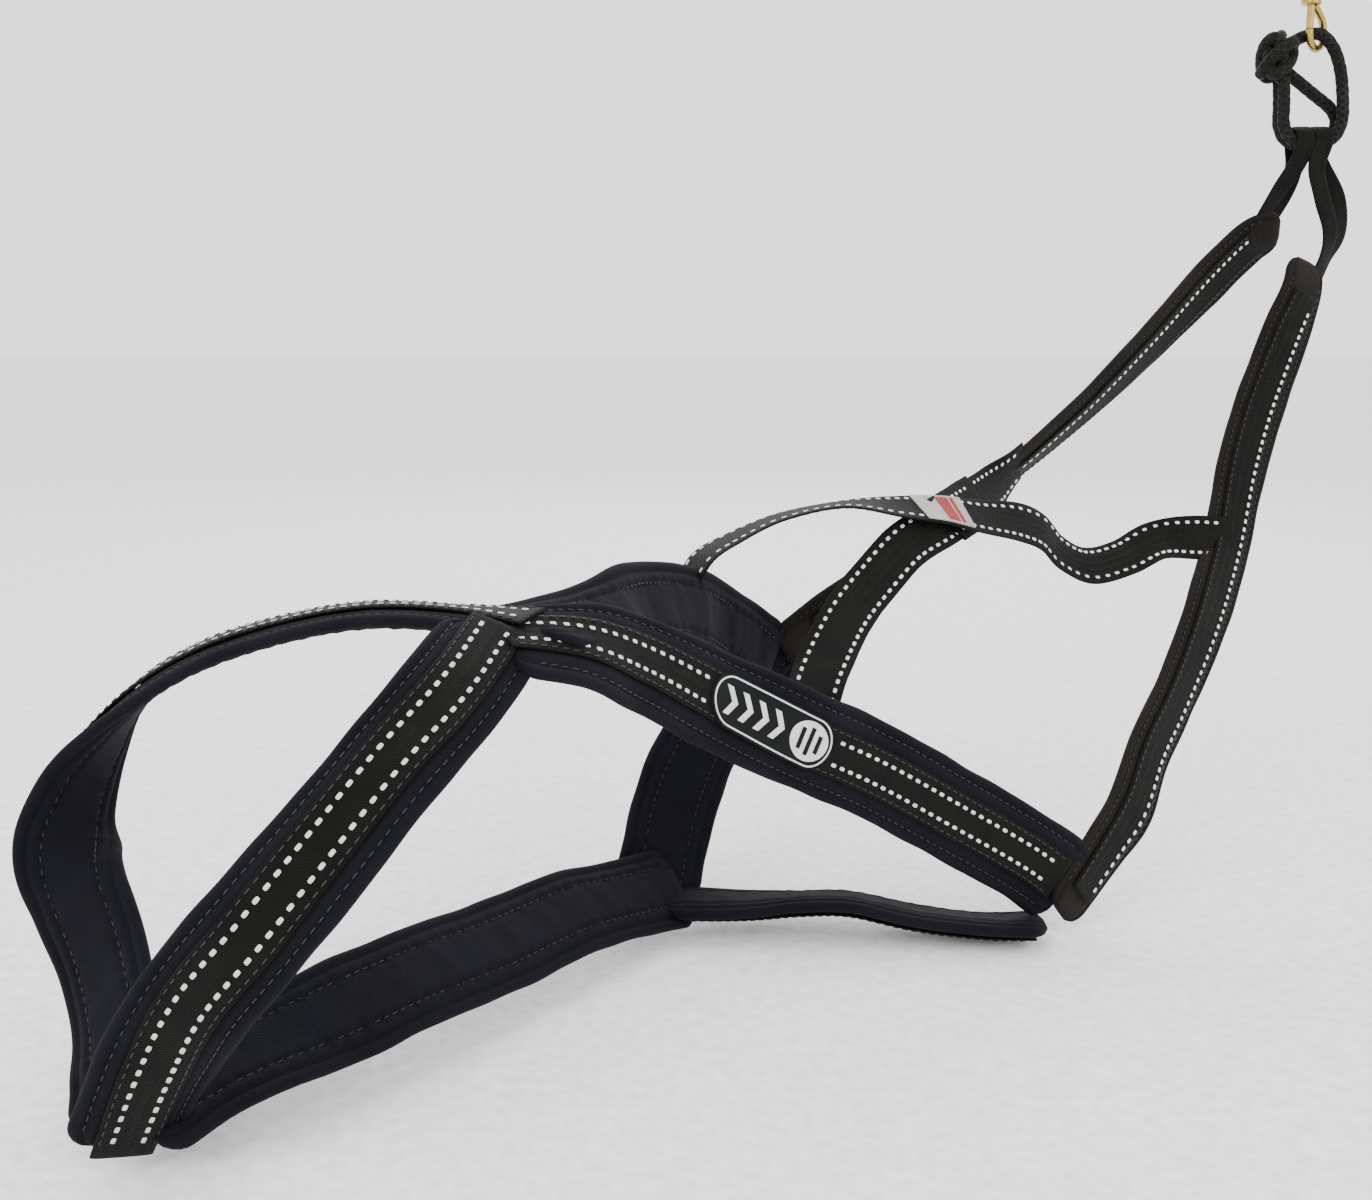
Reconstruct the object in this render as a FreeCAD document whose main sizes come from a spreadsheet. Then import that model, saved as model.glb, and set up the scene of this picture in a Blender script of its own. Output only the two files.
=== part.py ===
"""Padded X-back pulling harness for a dog, with its rope tug loop and bolt snap.

Millimetres. +X runs from the breastbone towards the tug end, +Y from the near flank to the far
flank, +Z up. The origin is the middle of the neck opening. The harness is shown held up by its snap.
"""
import FreeCAD, Part
import math
import os

V = FreeCAD.Vector

# ---------------------------------------------------------------- driving dimensions
SIZES = [
    ("overall_length", 640.0, "tip to tip along X"),
    ("overall_depth", 495.0, "near side to far side along Y"),
    ("overall_height", 350.0, "lowest pad to the tug end of the straps"),
    ("neck_pad_width", 40.0, "padded neck band"),
    ("side_pad_width", 44.0, "shoulder band"),
    ("chest_pad_width", 44.0, "chest piece and far belly band"),
    ("belly_pad_width", 38.0, "near belly band"),
    ("rear_pad_width", 30.0, "rear straps"),
    ("pad_thickness", 8.0, "padded bands"),
    ("rear_thickness", 6.5, "padding of the rear straps"),
    ("pad_edge", 5.0, "how far a pad's rim tapers in"),
    ("pad_webbing_width", 22.0, "webbing sewn on the pads"),
    ("rear_webbing_width", 18.0, "webbing sewn on the rear straps"),
    ("back_webbing_width", 25.0, "webbing that crosses over the spine"),
    ("loop_webbing_width", 10.5, "bunched webbing in the bights"),
    ("webbing_thickness", 1.8, "one layer of webbing"),
    ("sewn_gap", 0.05, "thread gap between sewn layers"),
    ("label_length", 72.0, "patch on the near shoulder band"),
    ("label_width", 24.0, "patch on the near shoulder band"),
    ("label_thickness", 1.0, "patch on the near shoulder band"),
    ("rope_diameter", 7.3, "tug loop rope"),
    ("rope_spacing", 7.8, "between the two turns of the rope"),
    ("bight_clearance", 1.05, "between the rope bundle and the webbing bights"),
    ("knot_radius", 12.0, "across the knot's turns"),
    ("knot_turn_radius", 4.6, "one turn of the knot"),
    ("hook_radius", 9.8, "centre line of the snap's hook"),
    ("hook_wire_radius", 2.2, "thickness of the hook"),
    ("barrel_radius", 5.6, "snap barrel outside"),
    ("barrel_length", 39.0, "snap barrel"),
    ("barrel_foot", 14.0, "barrel's lower end above the hook's centre"),
    ("bolt_radius", 2.1, "sliding bolt"),
    ("bolt_head_radius", 3.3, "bolt's head inside the barrel"),
    ("bolt_head_length", 4.0, "bolt's head inside the barrel"),
    ("bolt_travel", 8.0, "how far the bolt opens"),
    ("slide_clearance", 0.3, "bolt and swivel in the barrel"),
    ("stud_radius", 1.5, "thumb stud's shank"),
    ("stud_head_radius", 3.0, "thumb stud's head"),
    ("spring_wire_radius", 0.5, "bolt spring"),
    ("eye_outer_radius", 11.0, "swivel eye outside"),
    ("eye_hole_radius", 7.0, "hole in the swivel eye"),
    ("eye_thickness", 4.4, "swivel eye"),
    ("stem_radius", 2.3, "swivel eye's stem"),
]

# The lengths that the strap stations below were laid out at.
LAID_OUT_LENGTH = 640.0
LAID_OUT_DEPTH = 495.0
LAID_OUT_HEIGHT = 350.0

# A strap is a row of stations: its middle (x, y, z) and the direction across its width.
NECK_NEAR = [
    (119, 38, 80, 0.9, -0.1, -0.3), (106, 6, 64, 0.8, -0.1, -0.5), (88, -21, 44, 0.9, -0.3, -0.4),
    (67, -38, 19, 0.8, -0.3, -0.5), (47, -47, -4, 0.8, -0.1, -0.6), (27, -46, -28, 0.8, -0.1, -0.6),
    (9, -40, -55, 0.6, 0.4, -0.7), (-8, -32, -88, 0.3, 0.6, -0.8),
]
NECK_FAR = [
    (132, 46, 80, 0.1, 1.0, 0.1), (102, 57, 81, -0.1, 1.0, -0.1), (65, 69, 80, -0.2, 1.0, -0.1),
    (30, 78, 73, -0.3, 0.9, -0.1), (-4, 81, 62, -0.3, 0.9, -0.1), (-31, 79, 46, -0.2, 1.0, -0.1),
    (-47, 72, 25, 0.2, 0.9, -0.2), (-55, 62, 5, 0.5, 0.7, -0.5), (-54, 51, -12, 0.9, 0.3, -0.1),
    (-46, 40, -25, 0.9, 0.0, 0.3), (-33, 25, -42, 0.9, -0.2, 0.3), (-22, 7, -61, 0.9, -0.3, 0.3),
    (-15, -10, -73, 0.9, -0.3, 0.1), (-11, -24, -85, 0.9, -0.4, -0.1),
]
CHEST = [
    (-4, -28, -81, 0.5, -0.8, -0.4), (22, 0, -75, 0.4, -0.9, -0.3), (54, 30, -69, 0.4, -0.7, -0.6),
    (81, 63, -68, 0.4, -0.7, -0.6), (109, 99, -70, 0.4, -0.7, -0.6), (139, 140, -71, 0.5, -0.7, -0.6),
    (165, 171, -76, 0.5, -0.7, -0.6), (187, 194, -79, 0.5, -0.4, -0.7),
]
BELLY_NEAR = [
    (180, 182, -83, 0.1, 1.0, 0.0), (218, 185, -85, 0.0, 1.0, -0.1), (246, 183, -83, 0.1, 1.0, -0.2),
    (270, 180, -82, 0.1, 1.0, -0.2), (301, 175, -87, 0.2, 1.0, -0.2), (333, 172, -90, 0.2, 1.0, -0.2),
    (363, 169, -89, 0.4, 0.9, -0.1),
]
BELLY_FAR = [
    (175, 196, -83, 1.0, 0.0, -0.3), (179, 208, -66, 0.9, 0.2, -0.3), (184, 222, -48, 1.0, 0.1, -0.2),
    (193, 238, -27, 0.9, 0.2, -0.3), (208, 251, -4, 0.9, 0.3, -0.4), (224, 261, 16, 0.8, 0.3, -0.5),
    (243, 268, 34, 0.7, 0.4, -0.6),
]
SIDE_FAR = [
    (128, 44, 81, 0.2, -1.0, 0.0), (159, 94, 74, 0.1, -0.9, -0.3), (174, 139, 71, 0.0, -0.8, -0.6),
    (195, 183, 61, -0.1, -0.7, -0.7), (214, 226, 42, -0.3, -0.7, -0.6), (236, 257, 20, -0.5, -0.6, -0.6),
]
SIDE_NEAR = [
    (120, 35, 77, 0.2, -0.9, -0.3), (150, 51, 72, 0.0, -0.9, -0.5), (174, 74, 59, -0.3, -0.8, -0.5),
    (206, 100, 37, -0.4, -0.6, -0.7), (239, 121, 17, -0.5, -0.3, -0.8), (275, 141, -4, -0.5, -0.2, -0.9),
    (314, 159, -30, -0.5, -0.2, -0.9), (353, 173, -56, -0.5, -0.2, -0.9), (376, 180, -74, -0.6, -0.1, -0.8),
]
REAR_NEAR = [
    (371, 175, -86, 0.6, 0.5, -0.5), (396, 191, -58, 0.8, 0.5, -0.4), (412, 205, -42, 0.8, 0.4, -0.4),
    (426, 225, -19, 0.8, 0.5, -0.3), (445, 249, 3, 0.8, 0.5, -0.3), (469, 280, 36, 0.9, 0.4, -0.3),
    (491, 315, 72, 0.9, 0.3, -0.2), (506, 340, 112, 1.0, 0.2, -0.1), (522, 361, 148, 1.0, 0.1, -0.1),
    (541, 379, 188, 1.0, 0.2, -0.1), (554, 390, 216, 0.9, 0.4, -0.2), (557, 396, 234, 0.8, 0.5, -0.1),
]
REAR_FAR = [
    (548, 415, 253, 0.6, 0.6, -0.5), (529, 411, 245, 0.7, 0.5, -0.5), (501, 399, 221, 0.7, 0.5, -0.5),
    (464, 380, 187, 0.6, 0.7, -0.4), (427, 358, 156, 0.5, 0.8, -0.3), (398, 343, 134, 0.5, 0.9, -0.2),
    (374, 330, 117, 0.4, 0.9, -0.2), (346, 316, 97, 0.4, 0.9, -0.3), (317, 302, 77, 0.4, 0.8, -0.4),
    (291, 288, 59, 0.5, 0.7, -0.6), (264, 273, 42, 0.4, 0.5, -0.8), (242, 260, 25, 0.5, 0.2, -0.9),
]
BACK_TO_FAR = [
    (244, 120, 16, 0.8, -0.5, -0.1), (249, 133, 31, 0.8, -0.5, -0.1), (253, 152, 43, 0.9, -0.3, -0.3),
    (266, 178, 60, 0.8, -0.1, -0.5), (281, 198, 74, 0.7, -0.1, -0.6), (299, 216, 89, 0.8, 0.0, -0.5),
    (319, 235, 97, 0.8, 0.1, -0.5), (341, 273, 103, 0.7, 0.4, -0.5), (361, 306, 110, 0.6, 0.6, -0.4),
    (377, 323, 121, 0.5, 0.8, -0.3),
]
BACK_TO_NEAR = [
    (190, 196, 72, 0.4, -0.9, 0.0), (198, 198, 85, 0.4, -0.9, 0.0), (212, 205, 93, 0.3, -0.9, 0.0),
    (236, 211, 103, 0.1, -1.0, 0.0), (266, 219, 108, -0.1, -1.0, 0.0), (295, 227, 106, -0.3, -0.9, -0.2),
    (320, 238, 103, -0.3, -0.9, -0.3), (343, 250, 98, -0.2, -0.9, -0.5), (364, 262, 94, -0.2, -0.7, -0.6),
    (378, 270, 88, -0.2, -0.7, -0.6), (390, 277, 76, -0.3, -0.8, -0.5), (407, 284, 68, -0.2, -0.8, -0.6),
    (428, 293, 71, -0.1, -0.8, -0.6), (449, 303, 79, -0.1, -0.7, -0.7), (470, 308, 80, -0.1, -0.4, -0.9),
    (495, 314, 78, -0.1, -0.2, -1.0),
]

# The tug assembly hangs in one plane. Heights and lengths here are its own, not shares of the harness.
TUG_PLANE_Y = 420.0
BIGHT_HEIGHT = 303.0
BIGHT_X_FAR = 558.5
BIGHT_X_NEAR = 569.5
# Legs of the webbing bights, from the bight down to the strap they are sewn to.
FAR_LOOP_FRONT = [(554, 409, 291, 1.0, 0.1, 0.2), (544, 408, 276, 0.9, 0.2, 0.4), (534, 409, 259, 0.8, 0.4, 0.4)]
FAR_LOOP_BACK = [(560, 430, 291, 1.0, -0.1, -0.2), (556, 429, 278, 0.9, 0.0, -0.4), (545, 422, 261, 0.8, 0.3, -0.5)]
NEAR_LOOP_FRONT = [(565, 408, 288, 1.0, 0.1, 0.0), (568, 404, 270, 1.0, 0.2, 0.2), (573, 402, 252, 0.9, 0.3, 0.3),
                   (571, 402, 236, 0.8, 0.6, 0.1), (564, 400, 220, 0.8, 0.5, -0.2), (558, 396, 206, 0.8, 0.5, -0.2)]
NEAR_LOOP_BACK = [(577, 430, 291, 1.0, -0.1, 0.3), (585, 424, 272, 1.0, 0.0, 0.1), (583, 414, 252, 0.9, 0.3, 0.0),
                  (574, 407, 236, 0.8, 0.6, 0.0), (566, 404, 219, 0.8, 0.5, -0.2), (560, 400, 205, 0.8, 0.5, -0.2)]
# Rope routes, as corners that tangent arcs round off. The two turns lie side by side along Y.
ROPE_LONG = [(545, 0, 341), (546.5, 0, 325), (546, 0, 314), (552.5, 0, 303), (575.5, 0, 303), (582, 0, 314),
             (581, 0, 330), (579, 1.5, 347), (573.5, 3, 361), (563, 3.9, 369), (549, 3.9, 361)]
ROPE_SHORT = [(545, 0, 341), (546.5, 0, 325), (546, 0, 314), (552.5, 0, 303), (575.5, 0, 303), (582, 0, 314),
              (579, 0, 323.5), (566, -1.5, 332), (552, -3, 342)]
ROPE_TAIL = [(544, 426, 360), (547, 433, 366), (551, 441, 369)]

# Shares of a strap's length that the keeper, the tag and the middle of the label take, and the tag's size.
KEEPER_SPAN = (0.6, 0.78)
TAG_SPAN = (0.38, 0.465)
TAG_WIDTH = 22.5
TAG_THICKNESS = 0.6
LABEL_SHARE = 0.41
KNOT_CENTRE = (541.0, 420.0, 352.0)
KNOT_TURN_PITCH = 8.2
HOOK_CENTRE = (564.0, 420.0, 367.5)
SNAP_TURN = 45.0

STATION_STEPS = 4
ARC_SHARE = 0.45
HOOK_SWEEP = 240.0
SPRING_TURNS = 7


# ---------------------------------------------------------------- the document and its sheet
def make_sheet(doc):
    """Put the driving dimensions in a spreadsheet, with an alias for each."""
    sheet = doc.addObject("Spreadsheet::Sheet", "Sizes")
    for row, (name, value, note) in enumerate(SIZES, start=1):
        sheet.set("A%d" % row, name)
        sheet.set("B%d" % row, str(value))
        sheet.set("C%d" % row, note)
        sheet.setAlias("B%d" % row, name)
    doc.recompute()
    return sheet


DOC = FreeCAD.newDocument("PullingHarness")
SHEET = make_sheet(DOC)
NODES = []


def size(name):
    """Return one driving dimension from the sheet."""
    return float(SHEET.get(name))


def keep(obj, label):
    """Name a finished sub-part and put it on the list to be written."""
    obj.Label = label
    NODES.append(obj)
    return obj


def feature(label, shape):
    """Add a sub-part whose shape is built from the sheet's sizes."""
    obj = DOC.addObject("Part::Feature", label)
    obj.Shape = shape
    obj.Placement = FreeCAD.Placement()
    return keep(obj, label)


# ---------------------------------------------------------------- straps
def scaled(stations):
    """Place laid-out stations in a harness of the sheet's overall sizes."""
    kx = size("overall_length") / LAID_OUT_LENGTH
    ky = size("overall_depth") / LAID_OUT_DEPTH
    kz = size("overall_height") / LAID_OUT_HEIGHT
    return [(V(x * kx, y * ky, z * kz), V(ax, ay, az)) for x, y, z, ax, ay, az in stations]


def tug_shift():
    """Return how far the tug assembly moves when the harness changes size."""
    kx = size("overall_length") / LAID_OUT_LENGTH
    ky = size("overall_depth") / LAID_OUT_DEPTH
    kz = size("overall_height") / LAID_OUT_HEIGHT
    tip = REAR_FAR[0]
    return V(tip[0] * (kx - 1), tip[1] * (ky - 1), tip[2] * (kz - 1))


def smooth(points, steps):
    """Return a Catmull-Rom curve through the points."""
    first = points[0] * 2 - points[1]
    last = points[-1] * 2 - points[-2]
    run = [first] + list(points) + [last]
    out = []
    for i in range(1, len(run) - 2):
        a, b, c, d = run[i - 1:i + 3]
        for k in range(steps):
            t = k / steps
            p = b * 2 + (c - a) * t
            p = p + (a * 2 - b * 5 + c * 4 - d) * (t * t)
            p = p + (b * 3 - a - c * 3 + d) * (t * t * t)
            out.append(p * 0.5)
    out.append(points[-1])
    return out


def frames(stations, steps=STATION_STEPS):
    """Return the strap's middle line with its directions across and out, square to each other."""
    middles = smooth([s[0] for s in stations], steps)
    acrosses = smooth([s[1] for s in stations], steps)
    out = []
    for i, middle in enumerate(middles):
        ahead = middles[min(i + 1, len(middles) - 1)]
        behind = middles[max(i - 1, 0)]
        tangent = (ahead - behind).normalize()
        across = acrosses[i] - tangent * acrosses[i].dot(tangent)
        across.normalize()
        out.append((middle, across, tangent.cross(across)))
    return out


def part_of(run, start, end):
    """Cut a run of frames to the shares start to end of its count."""
    last = len(run) - 1
    return run[int(round(start * last)):int(round(end * last)) + 1]


def lifted(run, height):
    """Move a run of frames outwards by a height."""
    return [(p + n * height, a, n) for p, a, n in run]


def flat_section(width, thickness):
    """Return the corners of a webbing's section."""
    w = width / 2
    t = thickness / 2
    return [(-w, -t), (w, -t), (w, t), (-w, t)]


def pad_section(width, thickness):
    """Return the corners of a pad's section, tapered at its rims."""
    w = width / 2
    t = thickness / 2
    e = min(size("pad_edge"), w * 0.5)
    rim = t * 0.35
    return [(-w, -rim), (-w + e, -t), (w - e, -t), (w, -rim), (w, rim), (w - e, t), (-w + e, t), (-w, rim)]


def loft(run, section):
    """Sweep a section's corners along a run of frames into a closed solid."""
    wires = []
    for p, a, n in run:
        corners = [p + a * u + n * v for u, v in section]
        wires.append(Part.makePolygon(corners + [corners[0]]))
    solid = Part.makeLoft(wires, True, True)
    if solid.Volume < 0:
        solid.reverse()
    return solid


PADS = {}


def pad(label, stations, width, thickness):
    """Build one padded band and remember its frames for the webbing sewn on it."""
    run = frames(scaled(stations))
    PADS[label] = (run, thickness)
    return feature(label, loft(run, pad_section(width, thickness)))


def sewn_webbing(label, on, side, start, end, width, lift=0.0):
    """Sew a webbing on one face of a pad, side +1 or -1, from share start to share end."""
    run, thickness = PADS[on]
    web = size("webbing_thickness")
    height = thickness / 2 + size("sewn_gap") + web / 2 + lift
    run = lifted(part_of(run, start, end), side * height)
    return feature(label, loft(run, flat_section(width, web)))


def make_pads():
    """Build every padded band."""
    thick = size("pad_thickness")
    rear = size("rear_thickness")
    pad("neck_pad_near", NECK_NEAR, size("neck_pad_width"), thick)
    pad("neck_pad_far", NECK_FAR, size("neck_pad_width"), thick)
    pad("chest_pad", CHEST, size("chest_pad_width"), thick)
    pad("belly_pad_near", BELLY_NEAR, size("belly_pad_width"), thick)
    pad("belly_pad_far", BELLY_FAR, size("chest_pad_width"), thick)
    pad("side_pad_near", SIDE_NEAR, size("side_pad_width"), thick)
    pad("side_pad_far", SIDE_FAR, size("side_pad_width"), thick)
    pad("rear_pad_near", REAR_NEAR, size("rear_pad_width"), rear)
    pad("rear_pad_far", REAR_FAR, size("rear_pad_width"), rear)


def make_sewn_webbing():
    """Build the webbing that is sewn along the pads."""
    width = size("pad_webbing_width")
    rear = size("rear_webbing_width")
    over = size("webbing_thickness") + size("sewn_gap")
    sewn_webbing("neck_web_near", "neck_pad_near", 1, 0.0, 1.0, width)
    sewn_webbing("neck_web_far", "neck_pad_far", -1, 0.0, 0.95, width, over)
    sewn_webbing("chest_web", "chest_pad", 1, 0.08, 0.96, width)
    sewn_webbing("belly_web_near", "belly_pad_near", -1, 0.05, 0.97, width)
    sewn_webbing("belly_web_far", "belly_pad_far", 1, 0.1, 0.95, width)
    sewn_webbing("side_web_near", "side_pad_near", -1, 0.1, 0.97, width)
    sewn_webbing("side_web_far", "side_pad_far", 1, 0.1, 0.95, width)
    sewn_webbing("rear_web_near", "rear_pad_near", -1, 0.03, 0.95, rear)
    sewn_webbing("rear_web_far", "rear_pad_far", 1, 0.05, 0.95, rear)


def make_back_webbing():
    """Build the two webbings that cross over the spine, with the keeper and the tag at the crossing."""
    width = size("back_webbing_width")
    web = size("webbing_thickness")
    to_far = frames(scaled(BACK_TO_FAR))
    to_near = frames(scaled(BACK_TO_NEAR))
    feature("back_web_to_far", loft(to_far, flat_section(width, web)))
    feature("back_web_to_near", loft(to_near, flat_section(width, web)))
    keeper = lifted(part_of(to_far, *KEEPER_SPAN), -(web + size("sewn_gap")))
    feature("back_keeper", loft(keeper, flat_section(width + 2 * web, web)))
    tag = lifted(part_of(to_near, *TAG_SPAN), -(web / 2 + size("sewn_gap") + TAG_THICKNESS / 2))
    feature("back_tag", loft(tag, flat_section(TAG_WIDTH, TAG_THICKNESS)))


def make_label():
    """Build the patch on the near shoulder band: a capsule that follows the band."""
    run, thickness = PADS["side_pad_near"]
    lift = thickness / 2 + size("webbing_thickness") + 2 * size("sewn_gap") + size("label_thickness") / 2
    run = lifted(run, -lift)
    arc = [0.0]
    for (p, a, n), (q, b, m) in zip(run, run[1:]):
        arc.append(arc[-1] + (q - p).Length)
    middle = arc[-1] * LABEL_SHARE
    half = size("label_length") / 2
    radius = size("label_width") / 2
    wires = []
    cuts = 24
    for k in range(cuts + 1):
        along = -math.cos(math.pi * k / cuts) * half
        reach = radius
        if abs(along) > half - radius:
            reach = math.sqrt(max(radius * radius - (abs(along) - half + radius) ** 2, 0.04))
        p, a, n = frame_at(run, arc, middle + along)
        corners = [p + a * u + n * v for u, v in flat_section(2 * reach, size("label_thickness"))]
        wires.append(Part.makePolygon(corners + [corners[0]]))
    feature("label_near", Part.makeLoft(wires, True, True))


def frame_at(run, arc, length):
    """Return the frame of a run at a length along it."""
    i = max(k for k in range(len(arc) - 1) if arc[k] <= length)
    t = (length - arc[i]) / (arc[i + 1] - arc[i])
    p = run[i][0] * (1 - t) + run[i + 1][0] * t
    a = (run[i][1] * (1 - t) + run[i + 1][1] * t).normalize()
    n = (run[i][2] * (1 - t) + run[i + 1][2] * t).normalize()
    return p, a, n


# ---------------------------------------------------------------- bights and rope
def bight_radius():
    """Return the inside radius of a webbing bight: the rope bundle and its clearance."""
    return size("rope_spacing") / 2 + size("rope_diameter") / 2 + size("bight_clearance")


def make_bight(label, middle_x, front, back):
    """Build one webbing loop: up its front leg, over the rope, down its back leg."""
    shift = tug_shift()
    reach = bight_radius() + size("webbing_thickness") / 2
    middle = V(middle_x, TUG_PLANE_Y, BIGHT_HEIGHT)
    stations = [(V(x, y, z), V(ax, ay, az)) for x, y, z, ax, ay, az in reversed(front)]
    for degrees in (-90, -45, 0, 45, 90):
        angle = math.radians(degrees)
        stations.append((middle + V(0, math.sin(angle), math.cos(angle)) * reach, V(1, 0, 0)))
    stations += [(V(x, y, z), V(ax, ay, az)) for x, y, z, ax, ay, az in back]
    run = frames([(p + shift, a) for p, a in stations], 5)
    feature(label, loft(run, flat_section(size("loop_webbing_width"), size("webbing_thickness"))))


def rounded(points):
    """Join straight runs by tangent arcs and return the wire and the radii of its arcs."""
    edges = []
    radii = []
    start = points[0]
    for before, corner, after in zip(points, points[1:], points[2:]):
        into = (corner - before)
        out = (after - corner)
        shorter = min(into.Length, out.Length)
        turn = into.getAngle(out)
        reach = ARC_SHARE * shorter
        radius = reach / math.tan(turn / 2)
        into.normalize()
        out.normalize()
        p = corner - into * reach
        q = corner + out * reach
        inward = (out - into).normalize()
        centre = corner + inward * math.hypot(radius, reach)
        mid = centre - inward * radius
        edges.append(Part.LineSegment(start, p).toShape())
        edges.append(Part.Arc(p, mid, q).toShape())
        radii.append(radius)
        start = q
    edges.append(Part.LineSegment(start, points[-1]).toShape())
    return Part.Wire(edges), radii


def make_rope(label, points):
    """Build a rope as a tube along straight runs and arcs, and print its bends and length."""
    wire, radii = rounded([p + tug_shift() for p in points])
    radius = size("rope_diameter") / 2
    direction = points[1] - points[0]
    ring = Part.Wire([Part.makeCircle(radius, points[0] + tug_shift(), direction)])
    tube = wire.makePipeShell([ring], True, False)
    expected = math.pi * radius * radius * wire.Length
    print("%s length %.1f volume share %.3f radii %s"
          % (label, wire.Length, tube.Volume / expected, " ".join("%.0f" % r for r in radii)))
    feature(label, tube)


def turn_points(points, side):
    """Place a route's points in its own turn, side -1 in front and +1 behind."""
    y = TUG_PLANE_Y + side * size("rope_spacing") / 2
    return [V(x, y + dy, z) for x, dy, z in points]


def make_ropes():
    """Build the two turns of the tug loop and the rope's free end."""
    make_rope("tug_rope_long", turn_points(ROPE_LONG, -1))
    make_rope("tug_rope_short", turn_points(ROPE_SHORT, 1))
    make_rope("tug_rope_tail", [V(*p) for p in ROPE_TAIL])


# ---------------------------------------------------------------- primitives bound to the sheet
def bind(obj, **expressions):
    """Bind properties of a primitive to expressions of the sheet's cells."""
    for prop, expression in expressions.items():
        obj.setExpression(prop, expression)
    return obj


def cylinder(name, radius, height, x="0", z="0"):
    """Add an upright cylinder whose sizes and place are expressions of the sheet."""
    obj = DOC.addObject("Part::Cylinder", name)
    bind(obj, Radius=radius, Height=height)
    obj.setExpression("Placement.Base.x", x)
    obj.setExpression("Placement.Base.z", z)
    return obj


def fuse(name, shapes):
    """Add the union of some objects."""
    obj = DOC.addObject("Part::MultiFuse", name)
    obj.Shapes = shapes
    return obj


def cut(name, base, tool):
    """Add the difference of two objects."""
    obj = DOC.addObject("Part::Cut", name)
    obj.Base = base
    obj.Tool = tool
    return obj


def snap_place():
    """Return the snap's place: its hook round the rope, turned about the upright axis."""
    return FreeCAD.Placement(V(*HOOK_CENTRE) + tug_shift(), FreeCAD.Rotation(V(0, 0, 1), SNAP_TURN))


# Shared expressions of the snap. Its barrel stands over the bolt side of the hook, at -hook_radius.
AXIS_X = "-Sizes.hook_radius"
FOOT = "Sizes.barrel_foot"
WALL = "3"
HEAD_Z = FOOT + " + 10"
HEAD_TOP = HEAD_Z + " + Sizes.bolt_head_length"
CAVITY_Z = FOOT + " + " + WALL
CAVITY_HEIGHT = "Sizes.barrel_length - 12"
SWIVEL_Z = FOOT + " + Sizes.barrel_length - 7"
SWIVEL_HEIGHT = "4"
TIP_GAP = "0.4"


def make_knot():
    """Build the knot: three turns of rope round a core."""
    parts = []
    for k in (-1, 0, 1):
        turn = DOC.addObject("Part::Torus", "KnotTurn")
        bind(turn, Radius1="Sizes.knot_radius - Sizes.knot_turn_radius", Radius2="Sizes.knot_turn_radius")
        turn.Placement = FreeCAD.Placement(V(0, 0, k * KNOT_TURN_PITCH), FreeCAD.Rotation(V(0, 1, 0), 12))
        parts.append(turn)
    core = DOC.addObject("Part::Cylinder", "KnotCore")
    bind(core, Radius="Sizes.knot_radius - Sizes.knot_turn_radius", Height="3.4 * %s" % KNOT_TURN_PITCH)
    core.Placement = FreeCAD.Placement(V(0, 0, -1.7 * KNOT_TURN_PITCH), FreeCAD.Rotation())
    knot = fuse("Knot", parts + [core])
    knot.Placement = FreeCAD.Placement(V(*KNOT_CENTRE) + tug_shift(), FreeCAD.Rotation())
    keep(knot, "tug_knot")


def make_snap_body():
    """Build the snap's barrel and hook, hollow for the bolt, the spring and the swivel's head."""
    barrel = cylinder("Barrel", "Sizes.barrel_radius", "Sizes.barrel_length", AXIS_X, FOOT)
    hook = DOC.addObject("Part::Torus", "Hook")
    bind(hook, Radius1="Sizes.hook_radius", Radius2="Sizes.hook_wire_radius")
    hook.Angle3 = HOOK_SWEEP
    upright = FreeCAD.Rotation(V(1, 0, 0), 90)
    hook.Placement = FreeCAD.Placement(V(0, 0, 0), upright.multiply(FreeCAD.Rotation(V(0, 0, 1), 180)))
    end = math.radians(180 + HOOK_SWEEP)
    leg = DOC.addObject("Part::Cylinder", "HookLeg")
    bind(leg, Radius="Sizes.hook_wire_radius", Height="1.25 * Sizes.hook_radius")
    lean = FreeCAD.Rotation(V(0, 0, 1), V(-math.sin(end), 0, math.cos(end)))
    leg.Placement = FreeCAD.Placement(V(0, 0, 0), lean)
    leg.setExpression("Placement.Base.x", "Sizes.hook_radius * %.6f" % math.cos(end))
    leg.setExpression("Placement.Base.z", "Sizes.hook_radius * %.6f" % math.sin(end))
    solid = fuse("SnapSolid", [barrel, hook, leg])
    slide = "Sizes.slide_clearance"
    bore = cylinder("BoltBore", "Sizes.bolt_radius + " + slide, WALL + " + 2", AXIS_X, FOOT + " - 1")
    cavity = cylinder("Cavity", "Sizes.bolt_head_radius + " + slide, CAVITY_HEIGHT, AXIS_X, CAVITY_Z)
    room = cylinder("SwivelRoom", "Sizes.stem_radius + 1.6", SWIVEL_HEIGHT, AXIS_X, SWIVEL_Z)
    throat = cylinder("SwivelThroat", "Sizes.stem_radius + " + slide, "8", AXIS_X, SWIVEL_Z)
    slot = DOC.addObject("Part::Box", "StudSlot")
    bind(slot, Length="Sizes.barrel_radius + 2", Width="2 * (Sizes.stud_radius + %s)" % slide,
         Height="Sizes.bolt_travel + 2 * (Sizes.stud_radius + %s)" % slide)
    slot.setExpression("Placement.Base.x", "-Sizes.hook_radius - Sizes.barrel_radius - 2")
    slot.setExpression("Placement.Base.y", "-(Sizes.stud_radius + %s)" % slide)
    slot.setExpression("Placement.Base.z", HEAD_Z + " + 0.5 * Sizes.bolt_head_length - Sizes.stud_radius - " + slide)
    body = cut("SnapBody", solid, fuse("SnapHollow", [bore, cavity, room, throat, slot]))
    body.Placement = snap_place()
    keep(body, "snap_body")


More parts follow.
